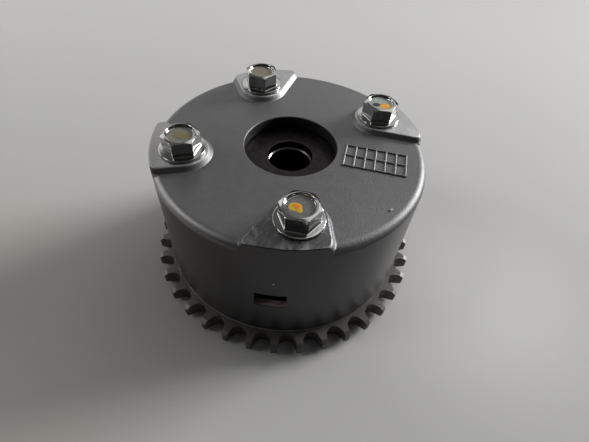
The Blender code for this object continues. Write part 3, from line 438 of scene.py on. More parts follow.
def make_casting():
    """Blasted die casting with a darker wall and pad tops milled in arcs; painted light and shade on the
    roof, wall, sill, left edge, hole and the near and left pads.
    """
    paint = Paint("cast_drum", (0.165, 0.165, 0.168), 0.47, 0.9)
    x, y, z = paint.axes()
    plan = x * x + y * y
    grain = paint.noise(1700, 2.0, 0.65)
    mottle = paint.noise(330, 4.0, 0.65)
    smear = paint.noise(420, 4.0, 0.65, stretch=(1.0, 0.6, 1.0))

    def outward(low, high):
        """0 at the first distance from the axis and 1 at the second."""
        return plan.rise(low ** 2, high ** 2)

    pad = z.rise(PAD_TOP - 0.22 * MM, PAD_TOP - 0.08 * MM)
    wall = z.rise(DRUM_TOP - 0.6 * MM, DRUM_TOP - 3.2 * MM).most(outward(42.1 * MM, 42.45 * MM))
    inside = outward(ROOF_HOLE_RADIUS + 0.3 * MM, ROOF_HOLE_RADIUS + 0.1 * MM)
    near = y.rise(-20 * MM, -28 * MM)

    # Milling marks: noise along arcs about a point far off to the lower right
    cutter_x = x - 60 * MM
    cutter_y = y + 75 * MM
    sweep = (cutter_x * cutter_x + cutter_y * cutter_y) ** 0.5
    swing = cutter_y.math("ARCTAN2", cutter_x)
    along = paint.node("CombineXYZ", {}, sweep * 2300.0, swing * 13.0, 0.0)
    streak = paint.node(
        "TexNoise", {}, Vector=along, Scale=1.0, Detail=3.0, Roughness=0.62, Distortion=0.4
    )
    scratches = streak.rise(0.45, 0.80) * (0.6 - near * 0.35) + smear.rise(0.50, 0.68) * 0.6
    rub = paint.away((6.3 * MM, -41.3 * MM, PAD_TOP)).rise(2.2 * MM, 0.2 * MM) * smear.rise(0.35, 0.6)

    # The roof: painted light makes it paler at the far side, painted shade makes it darker at the right, and
    # the tops of the date grid's ribs are paler
    colour = paint.blend(mottle.rise(0.35, 0.7), (0.136, 0.136, 0.138), (0.148, 0.148, 0.151))
    colour = paint.blend(y.rise(-15 * MM, 45 * MM) * 0.7, colour, (0.235, 0.235, 0.24))
    colour = paint.blend(x.rise(20 * MM, 43 * MM) * 0.35, colour, (0.09, 0.09, 0.092))
    by_grid = paint.away((*GRID_CENTRE, DRUM_TOP)).rise(11.8 * MM, 11.3 * MM)
    raised_rib_tops = z.rise(DRUM_TOP + 0.2 * MM, DRUM_TOP + 0.36 * MM) * by_grid
    colour = paint.blend(raised_rib_tops, colour, (0.18, 0.18, 0.184))

    # The wall: dark in front, with painted light making it paler at both sides, and a window sill painted
    # pale as though lit
    side = x.rise(26 * MM, 35 * MM) + x.rise(-4 * MM, -24 * MM) * 0.5
    colour = paint.blend(wall, colour, paint.blend(side, (0.055, 0.053, 0.054), (0.14, 0.138, 0.139)))
    # Painted light: the sill is coloured pale to look lit
    sill = z.rise(SILL + 0.25 * MM, SILL + 0.1 * MM) * z.rise(SILL - 0.25 * MM, SILL - 0.1 * MM)
    sill = sill * outward(42.394 * MM, 42.18 * MM) * y.rise(0.0, -30 * MM)
    colour = paint.blend(sill, colour, (0.34, 0.30, 0.285))
    # Painted highlight: a bright line along the sill's inner edge
    colour = paint.blend(sill * outward(40.8 * MM, 40.5 * MM), colour, (0.75, 0.70, 0.68))

    # A painted highlight along the round edge at the left, pale and dark specks, and painted shade on the
    # roof hole's wall
    painted_edge_highlight = outward(40.4 * MM, 41.4 * MM) * z.rise(46.0 * MM, 47.3 * MM) * x.rise(-8 * MM, -34 * MM)
    painted_edge_highlight = painted_edge_highlight * (1.0 - pad) * z.rise(48.9 * MM, 48.7 * MM)
    colour = paint.blend(painted_edge_highlight, colour, (0.34, 0.335, 0.335))
    # Specks: a pale and a dark one on the wall; the last two are a dent near the roof's edge, painted as its
    # shaded side and its lit side
    for place, reach, tone in (
        ((-0.88, -42.49, 34.6), 0.28, 0.75), ((-10.8, -41.1, 39.0), 0.45, 0.02),
        ((28.6, -25.0, 48.7), 0.55, 0.03), ((29.5, -24.2, 48.7), 0.35, 0.6),
    ):
        middle = tuple(value * MM for value in place)
        speck = paint.away(middle).rise(reach * MM, reach * 0.5 * MM)
        colour = paint.blend(speck, colour, grey(tone))
    # Painted shade: the roof hole's wall is coloured near black
    colour = paint.blend(inside, colour, (0.07, 0.069, 0.07))

    # Painted shade: the near pad's top is coloured darker than the others, under its milling marks and rub
    dull = paint.blend(scratches + rub, (0.10, 0.10, 0.103), (0.27, 0.27, 0.275))
    bright = paint.blend(scratches, (0.46, 0.46, 0.465), grey(0.58))
    # Painted shade: the left pad is coloured darker
    bright = paint.blend(x.rise(-28 * MM, -40 * MM), bright, (0.34, 0.335, 0.335))
    paint.set("Base Color", paint.blend(pad, colour, paint.blend(near, bright, dull)))
    paint.set("Roughness", 0.47 + grain * 0.10 - wall * 0.17 - pad * 0.19)
    paint.set("Metallic", 0.9 - sill * 0.7)
    paint.bump(grain * (1.0 - pad) * (1.0 - wall * 0.7) + pad * streak * 0.8, 0.09 * MM, 0.85)
    return paint.material


def make_sintered_steel():
    """Sintered steel: dull, slightly brown and speckled, with painted shade darker towards the right, and a
    ground ring under the drum's foot painted bright as a highlight line.
    """
    paint = Paint("sintered_steel", (0.12, 0.115, 0.11), 0.45, 0.9)
    x, y, z = paint.axes()
    radius = (x * x + y * y) ** 0.5
    grain = paint.noise(1900, 3.0, 0.65)
    mottle = paint.noise(120, 3.0, 0.6)
    # Painted highlight: the ground land under the drum's foot is coloured near white, as a bright line
    ring = z.rise(PLATE_FRONT + 0.15 * MM, PLATE_FRONT + 0.25 * MM)
    ring = ring * radius.rise(LAND_RADIUS - 0.6 * MM, LAND_RADIUS - 0.4 * MM)
    colour = paint.blend(mottle.rise(0.3, 0.7), (0.110, 0.103, 0.098), (0.156, 0.149, 0.142))
    # Painted shade: darker towards the right
    colour = paint.blend(x.rise(-46 * MM, 46 * MM) * 0.6, colour, (0.05, 0.047, 0.045))
    paint.set("Base Color", paint.blend(ring, colour, (0.88, 0.87, 0.85)))
    paint.set("Roughness", 0.42 + grain * 0.16 - ring * 0.34)
    paint.bump(grain, 0.05 * MM, 0.5)
    return paint.material


def make_rotor_steel():
    """Dark brown-grey rotor steel with fine turning marks, a painted highlight on the edge where the bore
    starts, dimmer at the right, and painted shade in the bore.
    """
    paint = Paint("rotor_steel", (0.045, 0.038, 0.039), 0.36, 0.9)
    x, y, z = paint.axes()
    radius = (x * x + y * y) ** 0.5
    waver = paint.noise(500, 2.0, 0.5)
    turning = ((radius + waver * (0.2 * MM)) * 14000.0).sine() * 0.5 + 0.5
    step = ROTOR_FRONT - COUNTERBORE_DEPTH
    # Painted highlight: a bright line at the bore's edge, dimmed at the right
    edge = radius.rise(7.45 * MM, 7.3 * MM) * z.rise(step - 0.4 * MM, step - 0.3 * MM)
    edge = edge * z.rise(step + 0.1 * MM, step + 0.02 * MM) * (1.0 - x.rise(0.5 * MM, 4 * MM) * 0.8)
    # Painted shade: the bore below its edge is coloured near black
    bore = radius.rise(7.0 * MM, 6.9 * MM) * z.rise(step - 0.3 * MM, step - 0.4 * MM)
    colour = paint.blend(waver.rise(0.35, 0.7), (0.024, 0.020, 0.021), (0.036, 0.031, 0.032))
    colour = paint.blend(bore, colour, (0.012, 0.011, 0.011))
    paint.set("Base Color", paint.blend(edge, colour, (0.32, 0.32, 0.315)))
    paint.set("Roughness", 0.32 + waver * 0.12 - edge * 0.2)
    paint.bump(turning, 0.02 * MM, 0.25)
    return paint.material


def make_plated_steel():
    """Bright zinc plating with a slight cloudiness."""
    paint = Paint("plated_steel", (0.50, 0.50, 0.49), 0.09, 1.0)
    cloud = paint.noise(380, 3.0, 0.6)
    fine = paint.noise(2400, 2.0, 0.5)
    paint.set("Base Color", paint.blend(cloud.rise(0.35, 0.7), (0.37, 0.37, 0.36), (0.46, 0.46, 0.45)))
    paint.set("Roughness", 0.06 + cloud * 0.08)
    paint.bump(fine, 0.015 * MM, 0.25)
    return paint.material


def make_hard_steel():
    """Ground, hardened steel with a fine grain."""
    paint = Paint("hardened_steel", (0.46, 0.46, 0.47), 0.25, 1.0)
    cloud = paint.noise(500, 3.0, 0.6)
    paint.set("Base Color", paint.blend(cloud, (0.40, 0.40, 0.41), (0.50, 0.50, 0.51)))
    paint.set("Roughness", 0.2 + cloud * 0.15)
    paint.bump(paint.noise(2000, 2.0, 0.5), 0.015 * MM, 0.3)
    return paint.material


def make_spring_steel():
    """Blued spring steel."""
    paint = Paint("spring_steel", (0.30, 0.29, 0.28), 0.3, 1.0)
    cloud = paint.noise(700, 3.0, 0.6)
    paint.set("Base Color", paint.blend(cloud, (0.24, 0.235, 0.24), (0.36, 0.34, 0.31)))
    paint.set("Roughness", 0.24 + cloud * 0.16)
    return paint.material


def make_seal_polymer():
    """Dark, faintly mottled bearing plastic."""
    paint = Paint("seal_polymer", (0.035, 0.033, 0.032), 0.55, 0.0)
    cloud = paint.noise(900, 3.0, 0.6)
    paint.set("Base Color", paint.blend(cloud, (0.028, 0.026, 0.025), (0.05, 0.046, 0.044)))
    paint.set("Roughness", 0.45 + cloud * 0.2)
    paint.bump(cloud, 0.03 * MM, 0.4)
    return paint.material


def make_film(name, pale, deep, scale=900):
    """Brushed-on marking paint, thinner in places."""
    paint = Paint(f"film_{name}", pale, 0.4, 0.0)
    cover = paint.noise(scale, 3.0, 0.6)
    paint.set("Base Color", paint.blend(cover.rise(0.35, 0.65), deep, pale))
    paint.set("Roughness", 0.3 + cover * 0.25)
    paint.bump(cover, 0.04 * MM, 0.5)
    return paint.material


CASTING = make_casting()
SINTERED = make_sintered_steel()
ROTOR_STEEL = make_rotor_steel()
PLATED = make_plated_steel()
HARD_STEEL = make_hard_steel()
SPRING_STEEL = make_spring_steel()
SEAL_POLYMER = make_seal_polymer()


# Drum

def seal_slot(angle, mouth_radius, floor_radius):
    """Half the slot's angle at its mouth, asin(half width / radius), and the two points of its floor."""
    mouth = math.asin(SEAL_SLOT_HALF / mouth_radius)
    floor = math.asin(SEAL_SLOT_HALF / floor_radius)
    return mouth, polar(floor_radius, np.array([angle - floor, angle + floor]))


def shoe_outline(angle):
    """A shoe from inside the drum's wall to its tip, with the seal slot in the tip."""
    root = CHAMBER_RADIUS + CUT_PAST
    tip = HUB_RADIUS + VANE_CLEARANCE
    mouth, slot = seal_slot(angle, tip, tip + SEAL_SLOT_DEPTH)
    low = angle - SHOE_HALF
    high = angle + SHOE_HALF
    return np.concatenate([
        arc((0, 0), root, high, low, 24),
        arc((0, 0), tip, low, angle - mouth, 6),
        slot,
        arc((0, 0), tip, angle + mouth, high, 6),
    ])


def pad_outline(angle, widening):
    """A bolt pad: round the bolt, then two sides, one flaring more, whose corners curve into the drum's wall.

    A side's line faces t and lies d = r + c cos t from the drum's axis, so it meets the outer circle at
    t + acos(d / R).
    """
    radius = PAD_RADIUS + widening
    outer = DRUM_RADIUS + 0.2 * MM + min(widening, 0.2 * MM)
    line = [arc((BOLT_CIRCLE_RADIUS, 0), radius, PAD_SHORT_SIDE, PAD_LONG_SIDE, 40)]
    for facing, side, reach in ((PAD_LONG_SIDE, 1, 4.0 * MM), (PAD_SHORT_SIDE, -1, 3.0 * MM)):
        meets = facing + side * math.acos((radius + BOLT_CIRCLE_RADIUS * math.cos(facing)) / outer)
        corner = polar(outer, meets)
        start = corner - side * polar(reach, facing + math.pi / 2)
        end = polar(outer, meets + side * reach / outer)
        line.append(bend(start, corner, end, 12)[::side])
    first = math.atan2(line[1][-1, 1], line[1][-1, 0])
    last = math.atan2(line[2][0, 1], line[2][0, 0])
    line.insert(2, arc((0, 0), outer, first, last, 16)[1:-1])
    turn = np.array([[math.cos(angle), math.sin(angle)], [-math.sin(angle), math.cos(angle)]])
    return np.concatenate(line) @ turn


def waste_above_roof():
    """What is milled off the blank's top: a ring down to the roof and its round edge, less the four pads.

    A pad's section says how far its outline is widened at each height above the roof.
    """
    above = PAD_TOP + 2 * CUT_PAST
    past_wall = DRUM_RADIUS + CUT_PAST
    past_hole = ROOF_HOLE_RADIUS - CUT_PAST
    round_centre = (DRUM_RADIUS - DRUM_EDGE_ROUND, DRUM_TOP - DRUM_EDGE_ROUND)
    edge = arc(round_centre, DRUM_EDGE_ROUND, math.radians(3), math.pi / 2, 14)
    waste = turned("milled_top", np.concatenate([
        [(past_wall, above), (past_wall, edge[0, 1])], edge,
        [(past_hole, DRUM_TOP), (past_hole, above)],
    ]))
    pad_section = MM * np.array([
        (1.25, -3.5), (1.25, -0.1), (1.0, 0.08), (0.8, 0.28), (0.30, 1.1), (0.1, 1.38), (-0.12, 1.58),
        (-0.4, 1.705), (-1.0, 2.8),
    ])
    pads = []
    for number, angle in enumerate(BOLT_ANGLES):
        outlines = [pad_outline(angle, widening) for widening in pad_section[:, 0]]
        pads.append(("DIFFERENCE", stacked(f"pad_{number}", outlines, DRUM_TOP + pad_section[:, 1])))
    return carve(waste, pads)


def window_cutter():
    """The window and the drain channel behind it: one section of (radius, height), carried sideways."""
    outside = DRUM_RADIUS + CUT_PAST
    channel = DRUM_RADIUS - WINDOW_SKIN
    below = DRUM_FOOT - CUT_PAST
    section = np.array([
        (outside, WINDOW_TOP), (CHAMBER_RADIUS, WINDOW_TOP), (CHAMBER_RADIUS, below),
        (channel, below), (channel, SILL), (outside, SILL),
    ])
    outward = np.array([math.cos(WINDOW_ANGLE), math.sin(WINDOW_ANGLE), 0])
    aside = np.array([-math.sin(WINDOW_ANGLE), math.cos(WINDOW_ANGLE), 0]) * WINDOW_HALF_WIDTH
    flat = section[:, :1] * outward + section[:, 1:] * np.array([0, 0, 1])
    return surface("window", np.array([flat - aside, flat + aside]), capped=True)


def bolt_holes(name, low, high):
    """A cutter at each bolt's place."""
    for number, angle in enumerate(BOLT_ANGLES):
        centre = polar(BOLT_CIRCLE_RADIUS, angle)
        yield "DIFFERENCE", drill(f"{name}_{number}", BOLT_HOLE_RADIUS, low, high, centre)


def make_drum():
    """The casting: a turned cup with four shoes, its top milled down round the pads, holes and window."""
    drum = turned("drum_casting", rounded([
        (ROOF_HOLE_RADIUS + ROOF_HOLE_BREAK, PAD_TOP, 0),
        (DRUM_RADIUS, PAD_TOP, PAD_EDGE_BREAK),
        (DRUM_RADIUS, DRUM_FOOT, FOOT_BREAK),
        (CHAMBER_RADIUS, DRUM_FOOT, FOOT_BREAK),
        (CHAMBER_RADIUS, CEILING, 0.8 * MM),
        (ROOF_HOLE_RADIUS, CEILING, 0.4 * MM),
        (ROOF_HOLE_RADIUS, DRUM_TOP - ROOF_HOLE_BREAK, 0),
        (ROOF_HOLE_RADIUS + ROOF_HOLE_BREAK, DRUM_TOP, 0),
    ]))
    steps = []
    for number, angle in enumerate(BOLT_ANGLES):
        outline = shoe_outline(angle)
        shoe = stacked(f"shoe_{number}", [outline, outline], [ROTOR_REAR, CEILING + CUT_PAST])
        steps.append(("UNION", shoe))
    steps += [
        ("DIFFERENCE", waste_above_roof()),
        *bolt_holes("drum_hole", ROTOR_REAR - CUT_PAST, PAD_TOP + CUT_PAST),
        ("DIFFERENCE", window_cutter()),
    ]
    dress(shade(carve(drum, steps)), "drum", "drum_casting", CASTING, "housing")


# Sprocket

def tooth_line():
    """The toothed rim as angles and radii: round roller seats, flanks that lean back, and softened tips.

    Half a tooth is drawn with y outwards through a gullet: the roller's circle about a point on the pitch
    circle, then a flank that goes tan(lean) aside for each step out. Its points (x, y) become the angle
    atan(x / y) and the radius sqrt(x x + y y), mirrored, and repeated at each gullet.
    """
    seat_end = math.pi / 2 - FLANK_LEAN
    swing = np.linspace(0, seat_end, 12)
    seat = np.stack([GULLET_RADIUS * np.sin(swing), PITCH_RADIUS - GULLET_RADIUS * np.cos(swing)], -1)
    half_pitch = math.pi / TOOTH_COUNT
    top = np.array([TIP_RADIUS * math.sin(half_pitch), TIP_RADIUS * math.cos(half_pitch)])
    lift = TIP_RADIUS - seat[-1, 1] - 0.06 * MM
    corner = seat[-1] + lift * np.array([math.tan(FLANK_LEAN), 1.0])
    tip = rounded([(*seat[-1], 0), (*corner, 0.45 * MM), (*top, 0)])
    half = np.concatenate([seat, tip[1:]])
    turn = np.arctan2(half[:, 0], half[:, 1])
    reach = np.hypot(half[:, 0], half[:, 1])
    turn = np.concatenate([-turn[:0:-1], turn[:-1]])
    reach = np.concatenate([reach[:0:-1], reach[:-1]])
    gullets = FIRST_TOOTH + (np.arange(TOOTH_COUNT) + 0.5) * 2 * half_pitch
    return (gullets[:, None] + turn).ravel(), np.tile(reach, TOOTH_COUNT)


def make_sprocket():
    """The sprocket: a turned profile whose radius is held inside the toothed rim at each angle, drilled."""
    angle, reach = tooth_line()
    bore_middle = 9 * MM
    inner = rounded([
        (SPROCKET_BORE_RADIUS, bore_middle, 0),
        (SPROCKET_BORE_RADIUS, JOURNAL_TOP, 0.4 * MM),
        (JOURNAL_RADIUS, JOURNAL_TOP, 0.4 * MM),
        (JOURNAL_RADIUS, DRUM_SEAT, 0),
        (LAND_RADIUS, DRUM_SEAT, 0.3 * MM),
        (LAND_RADIUS, PLATE_FRONT, 0),
        (PLATE_FLAT_RADIUS, PLATE_FRONT, 0),
    ], 3)
    drop = np.array([0.0, 0.12, 0.25, 0.4, 0.55, 0.7, 0.8, 0.9]) * MM
    cone = TIP_RADIUS - TOOTH_BEVEL_WIDTH + drop * TOOTH_BEVEL_WIDTH / drop[-1]
    front = np.stack([cone, PLATE_FRONT - drop], -1)
    rear = np.stack([cone, PLATE_REAR + drop], -1)[::-1]
    back = rounded([
        (PLATE_FLAT_RADIUS, PLATE_REAR, 0),
        (REAR_RECESS_RADIUS, PLATE_REAR, 0.2 * MM),
        (REAR_RECESS_RADIUS - 1.0 * MM, REAR_RECESS, 0.3 * MM),
        (REAR_HUB_RADIUS + 1.8 * MM, REAR_RECESS, 0.3 * MM),
        (REAR_HUB_RADIUS, 0, 0.3 * MM),
        (SPROCKET_BORE_RADIUS, 0, 0.4 * MM),
        (SPROCKET_BORE_RADIUS, bore_middle, 0),
    ], 3)[:-1]
    profile = np.concatenate([inner, front, rear, back])
    limit = np.broadcast_to(reach, (len(profile), len(reach))).copy()
    first = len(inner)
    last = first + len(front) + len(rear) - 1
    limit[[first, last]] -= 0.14 * MM
    radius = np.minimum(profile[:, :1], limit)
    height = np.broadcast_to(profile[:, 1:], radius.shape)
    sprocket = surface("sprocket_body", np.dstack([polar(radius, angle), height]), wrap_rows=True)
    above = JOURNAL_TOP + CUT_PAST
    pocket = drill("bush_pocket", BUSH_POCKET_RADIUS, BUSH_FLOOR, above, PIN_PLACE)
    vent = drill("bush_vent", BUSH_VENT_RADIUS, -CUT_PAST, BUSH_FLOOR + CUT_PAST, PIN_PLACE)
    steps = [
        *bolt_holes("sprocket_hole", PLATE_REAR - CUT_PAST, above),
        ("DIFFERENCE", pocket),
        ("DIFFERENCE", vent),
    ]
    dress(shade(carve(sprocket, steps), 32), "drum", "sprocket_steel", SINTERED, "sprocket")


# Bolts and their paint marks

def bolt_grid():
    """One flange bolt on its seat at z = 0: a turned profile held inside a hexagon above the flange.

    The hexagon's radius is half the flats over the cosine of the angle from the nearest flat's middle, and
    no more than a round that cuts its corners. The flange falls by its slope from there to its edge.
    """
    angle = np.arange(BOLT_STEPS) * 2 * math.pi / BOLT_STEPS
    off_flat = (angle + math.pi / 6) % (math.pi / 3) - math.pi / 6
    hexagon = np.minimum(HEXAGON_HALF_FLATS / np.cos(off_flat), 5.7 * MM)
    flange_edge = 6.74 * MM
    flange_top = 0.76 * MM
    fillet = 0.14 * MM
    dish = [(0.0, DISH_FLOOR), (2.0 * MM, DISH_FLOOR)]
    crest = MM * np.array([
        (3.6, 4.87), (3.84, 4.9), (3.95, 5.0), (4.03, 5.2), (4.1, 5.42), (4.18, 5.55), (4.25, 5.62),
        (4.34, 5.65), (4.46, 5.64), (4.6, 5.6), (4.75, 5.545), (4.9, 5.485), (5.05, 5.43), (5.25, 5.355),
        (5.45, 5.28), (5.62, 5.215), (5.8, 5.15),
    ])
    top = np.concatenate([dish, crest])
    radii = [np.minimum(r, hexagon) for r, _ in top]
    heights = [np.full(BOLT_STEPS, z) for _, z in top]
    shoulder = top[-1, 1]
    foot = flange_top + (flange_edge - hexagon) * FLANGE_SLOPE
    for share in (0.4, 0.8, 0.96):
        radii.append(hexagon)
        heights.append(shoulder + (foot + fillet - shoulder) * share)
    for outward, up in ((0.0, fillet), (0.04 * MM, 0.06 * MM), (fillet, 0.0)):
        radii.append(hexagon + outward)
        heights.append(foot - outward * FLANGE_SLOPE + up)
    for share in (0.25, 0.5, 0.75, 1.0):
        reach = hexagon + fillet + (flange_edge - hexagon - fillet) * share
        radii.append(reach)
        heights.append(flange_top + (flange_edge - reach) * FLANGE_SLOPE)
    flange_rim = MM * np.array([
        (6.82, 0.73), (6.88, 0.66), (6.9, 0.54), (6.9, 0.28), (6.85, 0.14), (6.72, 0.04), (6.5, 0.0),
    ])
    tip = BOLT_END - BOLT_SEAT
    shank = [
        (SHANK_RADIUS, 0.0), (SHANK_RADIUS, tip + 0.8 * MM),
        (SHANK_RADIUS - 0.6 * MM, tip), (0.0, tip),
    ]
    for r, z in np.concatenate([flange_rim, shank]):
        radii.append(np.full(BOLT_STEPS, r))
        heights.append(np.full(BOLT_STEPS, z))
    return angle, np.array(radii), np.array(heights)


def make_bolts():
    """Four bolts, each turned as it was tightened."""
    angle, radii, heights = bolt_grid()
    for number, (bolt_angle, turn) in enumerate(zip(BOLT_ANGLES, BOLT_TURNS), 1):
        plan = polar(radii, angle + turn - math.pi / 6) + polar(BOLT_CIRCLE_RADIUS, bolt_angle)
        bolt = surface(f"flange_bolt_{number}", np.dstack([plan, heights + BOLT_SEAT]))
        dress(shade(bolt, 34), "drum", "plated_steel", PLATED, f"drum_bolt_{number}")


def make_mark(name, bolt, offset, size, material, lift, waver, seed):
    """A paint mark in a bolt's dish: a flat crowned oval whose edge wanders.

    At angle a its edge is the oval's times 1 + waver times a sum of strength sin(order a + phase). Offset,
    size and lift are in millimetres.
    """
    steps = 64
    thickness = 0.05 * MM
    angle = np.arange(steps) * 2 * math.pi / steps
    chance = np.random.default_rng(seed)
    waves = 0
    for order in (2, 3, 5, 7):
        strength = chance.uniform(0.4, 1.0) / order
        phase = chance.uniform(0, 2 * math.pi)
        waves = waves + strength * np.sin(order * angle + phase)
    edge = 1 + waver * waves
    share = np.array([0.0, 0.4, 0.75, 0.92, 1.0, 1.0])
    rise = np.array([1.0, 0.97, 0.85, 0.6, 0.0, -0.8])
    reach = share[:, None] * edge
    centre = polar(BOLT_CIRCLE_RADIUS, BOLT_ANGLES[bolt - 1]) + np.array(offset) * MM
    oval = np.stack([size[0] * np.cos(angle), size[1] * np.sin(angle)], -1)
    plan = centre + reach[..., None] * oval * MM
    floor = BOLT_SEAT + DISH_FLOOR + lift * MM
    height = np.broadcast_to(floor + thickness * rise[:, None], plan.shape[:2])
    middle = np.broadcast_to([*centre, floor - thickness], (1, steps, 3))
    mark = surface(name, np.concatenate([np.dstack([plan, height]), middle]))
    dress(shade(mark, 50), "drum", "plated_steel", material)


def make_marks():
    """A film over each dish's floor, and the blobs of paint on three of them."""
    films = {
        "grey": make_film("grey", (0.125, 0.125, 0.118), (0.09, 0.09, 0.085)),
        "cream": make_film("cream", (0.15, 0.15, 0.12), (0.105, 0.11, 0.09)),
        "beige": make_film("beige", (0.19, 0.16, 0.115), (0.14, 0.115, 0.08)),
        "ice": make_film("ice", (0.33, 0.38, 0.36), (0.22, 0.26, 0.25)),
        "olive": make_film("olive", (0.145, 0.115, 0.038), (0.115, 0.10, 0.045)),
        "yellow": make_film("yellow", (0.42, 0.33, 0.02), (0.46, 0.24, 0.006), 500),
        "amber": make_film("amber", (0.55, 0.20, 0.004), (0.52, 0.13, 0.003), 700),
        "orange": make_film("orange", (0.72, 0.38, 0.035), (0.62, 0.25, 0.02), 500),
        "black": make_film("black", grey(0.02), grey(0.012)),
    }
    middle = (0.0, 0.0)
    whole = (3.75, 3.75)
    for name, bolt, offset, size, film, lift, waver, seed in (
        ("mark_1_ground", 1, middle, whole, "grey", 0.0, 0.01, 11),
        ("mark_1_blob", 1, (-1.35, -0.2), (1.75, 1.4), "yellow", 0.04, 0.14, 12),
        ("mark_1_lobe", 1, (-0.35, -1.2), (0.95, 0.85), "yellow", 0.05, 0.12, 21),
        ("mark_1_core", 1, (-1.0, -0.1), (1.05, 0.85), "amber", 0.08, 0.22, 4),
        ("mark_2_ground", 2, middle, whole, "cream", 0.0, 0.01, 13),
        ("mark_2_blob", 2, (0.21, -0.25), (2.35, 1.7), "olive", 0.06, 0.1, 14),
        ("mark_3_ground", 3, middle, whole, "beige", 0.0, 0.01, 15),
        ("mark_4_ground", 4, middle, whole, "ice", 0.0, 0.01, 16),
        ("mark_4_blob", 4, (1.25, -1.3), (1.8, 1.65), "orange", 0.06, 0.12, 17),
        ("mark_4_dot", 4, (-1.55, -0.85), (1.25, 1.0), "black", 0.09, 0.04, 18),
    ):
        make_mark(name, bolt, offset, size, films[film], lift, waver, seed)


# Rotor

def rotor_outline():
    """The rotor's section: the hub's arcs between four vanes, each with a seal slot in its end."""
    vane_radius = CHAMBER_RADIUS - VANE_CLEARANCE
    corner = 0.6 * MM
    turn = corner / vane_radius
    vanes = [(WIDE_VANE, WIDE_VANE_HALF, WIDE_VANE_SEAL)]
    vanes += [(angle, NARROW_VANE_HALF, angle) for angle in NARROW_VANES]
    vanes.sort()
    line = []
    for number, (angle, half, seal) in enumerate(vanes):
        low = angle - half
        high = angle + half
        mouth, slot = seal_slot(seal, vane_radius, vane_radius - SEAL_SLOT_DEPTH)
        following = vanes[(number + 1) % len(vanes)]
        next_low = following[0] - following[1]
        if next_low < high:
            next_low += 2 * math.pi
        line += [
            polar(HUB_RADIUS, low)[None],
            polar(vane_radius - corner, low)[None],
            arc((0, 0), vane_radius, low + turn, seal - mouth, 10),
            slot,
            arc((0, 0), vane_radius, seal + mouth, high - turn, 10),
            polar(vane_radius - corner, high)[None],
            arc((0, 0), HUB_RADIUS, high, next_low, 14)[:-1],
        ]
    return np.concatenate(line)


def centre_bore_profile():
    """The seat's recess, the counterbore, the bolt's bore and the camshaft's socket, as (radius, height)."""
    above = ROTOR_FRONT + CUT_PAST
    below = REAR_JOURNAL_END - CUT_PAST
    seat = ROTOR_FRONT - SEAT_RECESS_DEPTH
    step = ROTOR_FRONT - COUNTERBORE_DEPTH
    break_edge = 0.4 * MM
    return [
        (0, above), (SEAT_RECESS_RADIUS, above), (SEAT_RECESS_RADIUS, seat),
        (COUNTERBORE_RADIUS + 0.3 * MM, seat), (COUNTERBORE_RADIUS + 0.08 * MM, seat - 0.1 * MM),
        (COUNTERBORE_RADIUS, seat - 0.3 * MM), (COUNTERBORE_RADIUS, step),
        (CENTRE_BORE_RADIUS, step - 0.35 * MM), (CENTRE_BORE_RADIUS, SOCKET_FLOOR),
        (CAMSHAFT_SOCKET_RADIUS, SOCKET_FLOOR), (CAMSHAFT_SOCKET_RADIUS, REAR_JOURNAL_END + break_edge),
        (CAMSHAFT_SOCKET_RADIUS + break_edge, REAR_JOURNAL_END),
        (CAMSHAFT_SOCKET_RADIUS + break_edge, below), (0, below),
    ]


def oil_holes():
    """A drilling from the centre bore out of the hub beside each vane, each side at its own height."""
    inner_end = 5.8 * MM
    beside = math.asin(1.6 * MM / HUB_RADIUS)
    vanes = [(WIDE_VANE, WIDE_VANE_HALF)] + [(angle, NARROW_VANE_HALF) for angle in NARROW_VANES]
    for number, (angle, half) in enumerate(vanes):
        for name, side, height in (("advance", -1, ADVANCE_PORTS), ("retard", 1, RETARD_PORTS)):
            hole = drill(f"{name}_{number}", OIL_HOLE_RADIUS, inner_end, HUB_RADIUS + CUT_PAST, steps=16)
            toward = Matrix.Rotation(angle + side * (half + beside), 4, "Z")
            lie_down = Matrix.Rotation(math.pi / 2, 4, "Y")
            hole.data.transform(Matrix.Translation((0, 0, height)) @ toward @ lie_down)
            yield "DIFFERENCE", hole


def make_rotor():
    """The rotor: the vane section and its rear journal, with its two bores, dowel hole and oil drillings."""
    outline = rotor_outline()
    rotor = stacked("vane_rotor", [outline, outline], [ROTOR_REAR, ROTOR_FRONT])
    journal = rounded([
        (0, ROTOR_REAR + CUT_PAST, 0),
        (REAR_JOURNAL_RADIUS, ROTOR_REAR + CUT_PAST, 0),
        (REAR_JOURNAL_RADIUS, REAR_JOURNAL_END, 0.5 * MM),
        (0, REAR_JOURNAL_END, 0),
    ])
    above = ROTOR_FRONT + CUT_PAST
    below = ROTOR_REAR - CUT_PAST
    pin_bore = [
        (0, above), (CAP_BORE_RADIUS, above), (CAP_BORE_RADIUS, CAP_LEDGE),
        (PIN_BORE_RADIUS, CAP_LEDGE), (PIN_BORE_RADIUS, PIN_SHOULDER),
        (PIN_TIP_BORE_RADIUS, PIN_SHOULDER), (PIN_TIP_BORE_RADIUS, below), (0, below),
    ]
    dowel_place = polar(DOWEL_CIRCLE_RADIUS, DOWEL_ANGLE)
    dowel_start = SOCKET_FLOOR - 0.5 * MM
    dowel_hole = drill("dowel_hole", DOWEL_HOLE_RADIUS, dowel_start, DOWEL_HOLE_END, dowel_place)
    steps = [
        ("UNION", turned("rear_journal", journal, BORE_STEPS, closed=False)),
        ("DIFFERENCE", turned("centre_bore", centre_bore_profile(), BORE_STEPS, closed=False)),
        ("DIFFERENCE", turned("pin_bore", pin_bore, SMALL_STEPS, closed=False, centre=PIN_PLACE)),
        ("DIFFERENCE", dowel_hole),
        *oil_holes(),
    ]
    dress(shade(carve(rotor, steps), 34), "rotor", "rotor_steel", ROTOR_STEEL, "rotor")


# Lock pin group

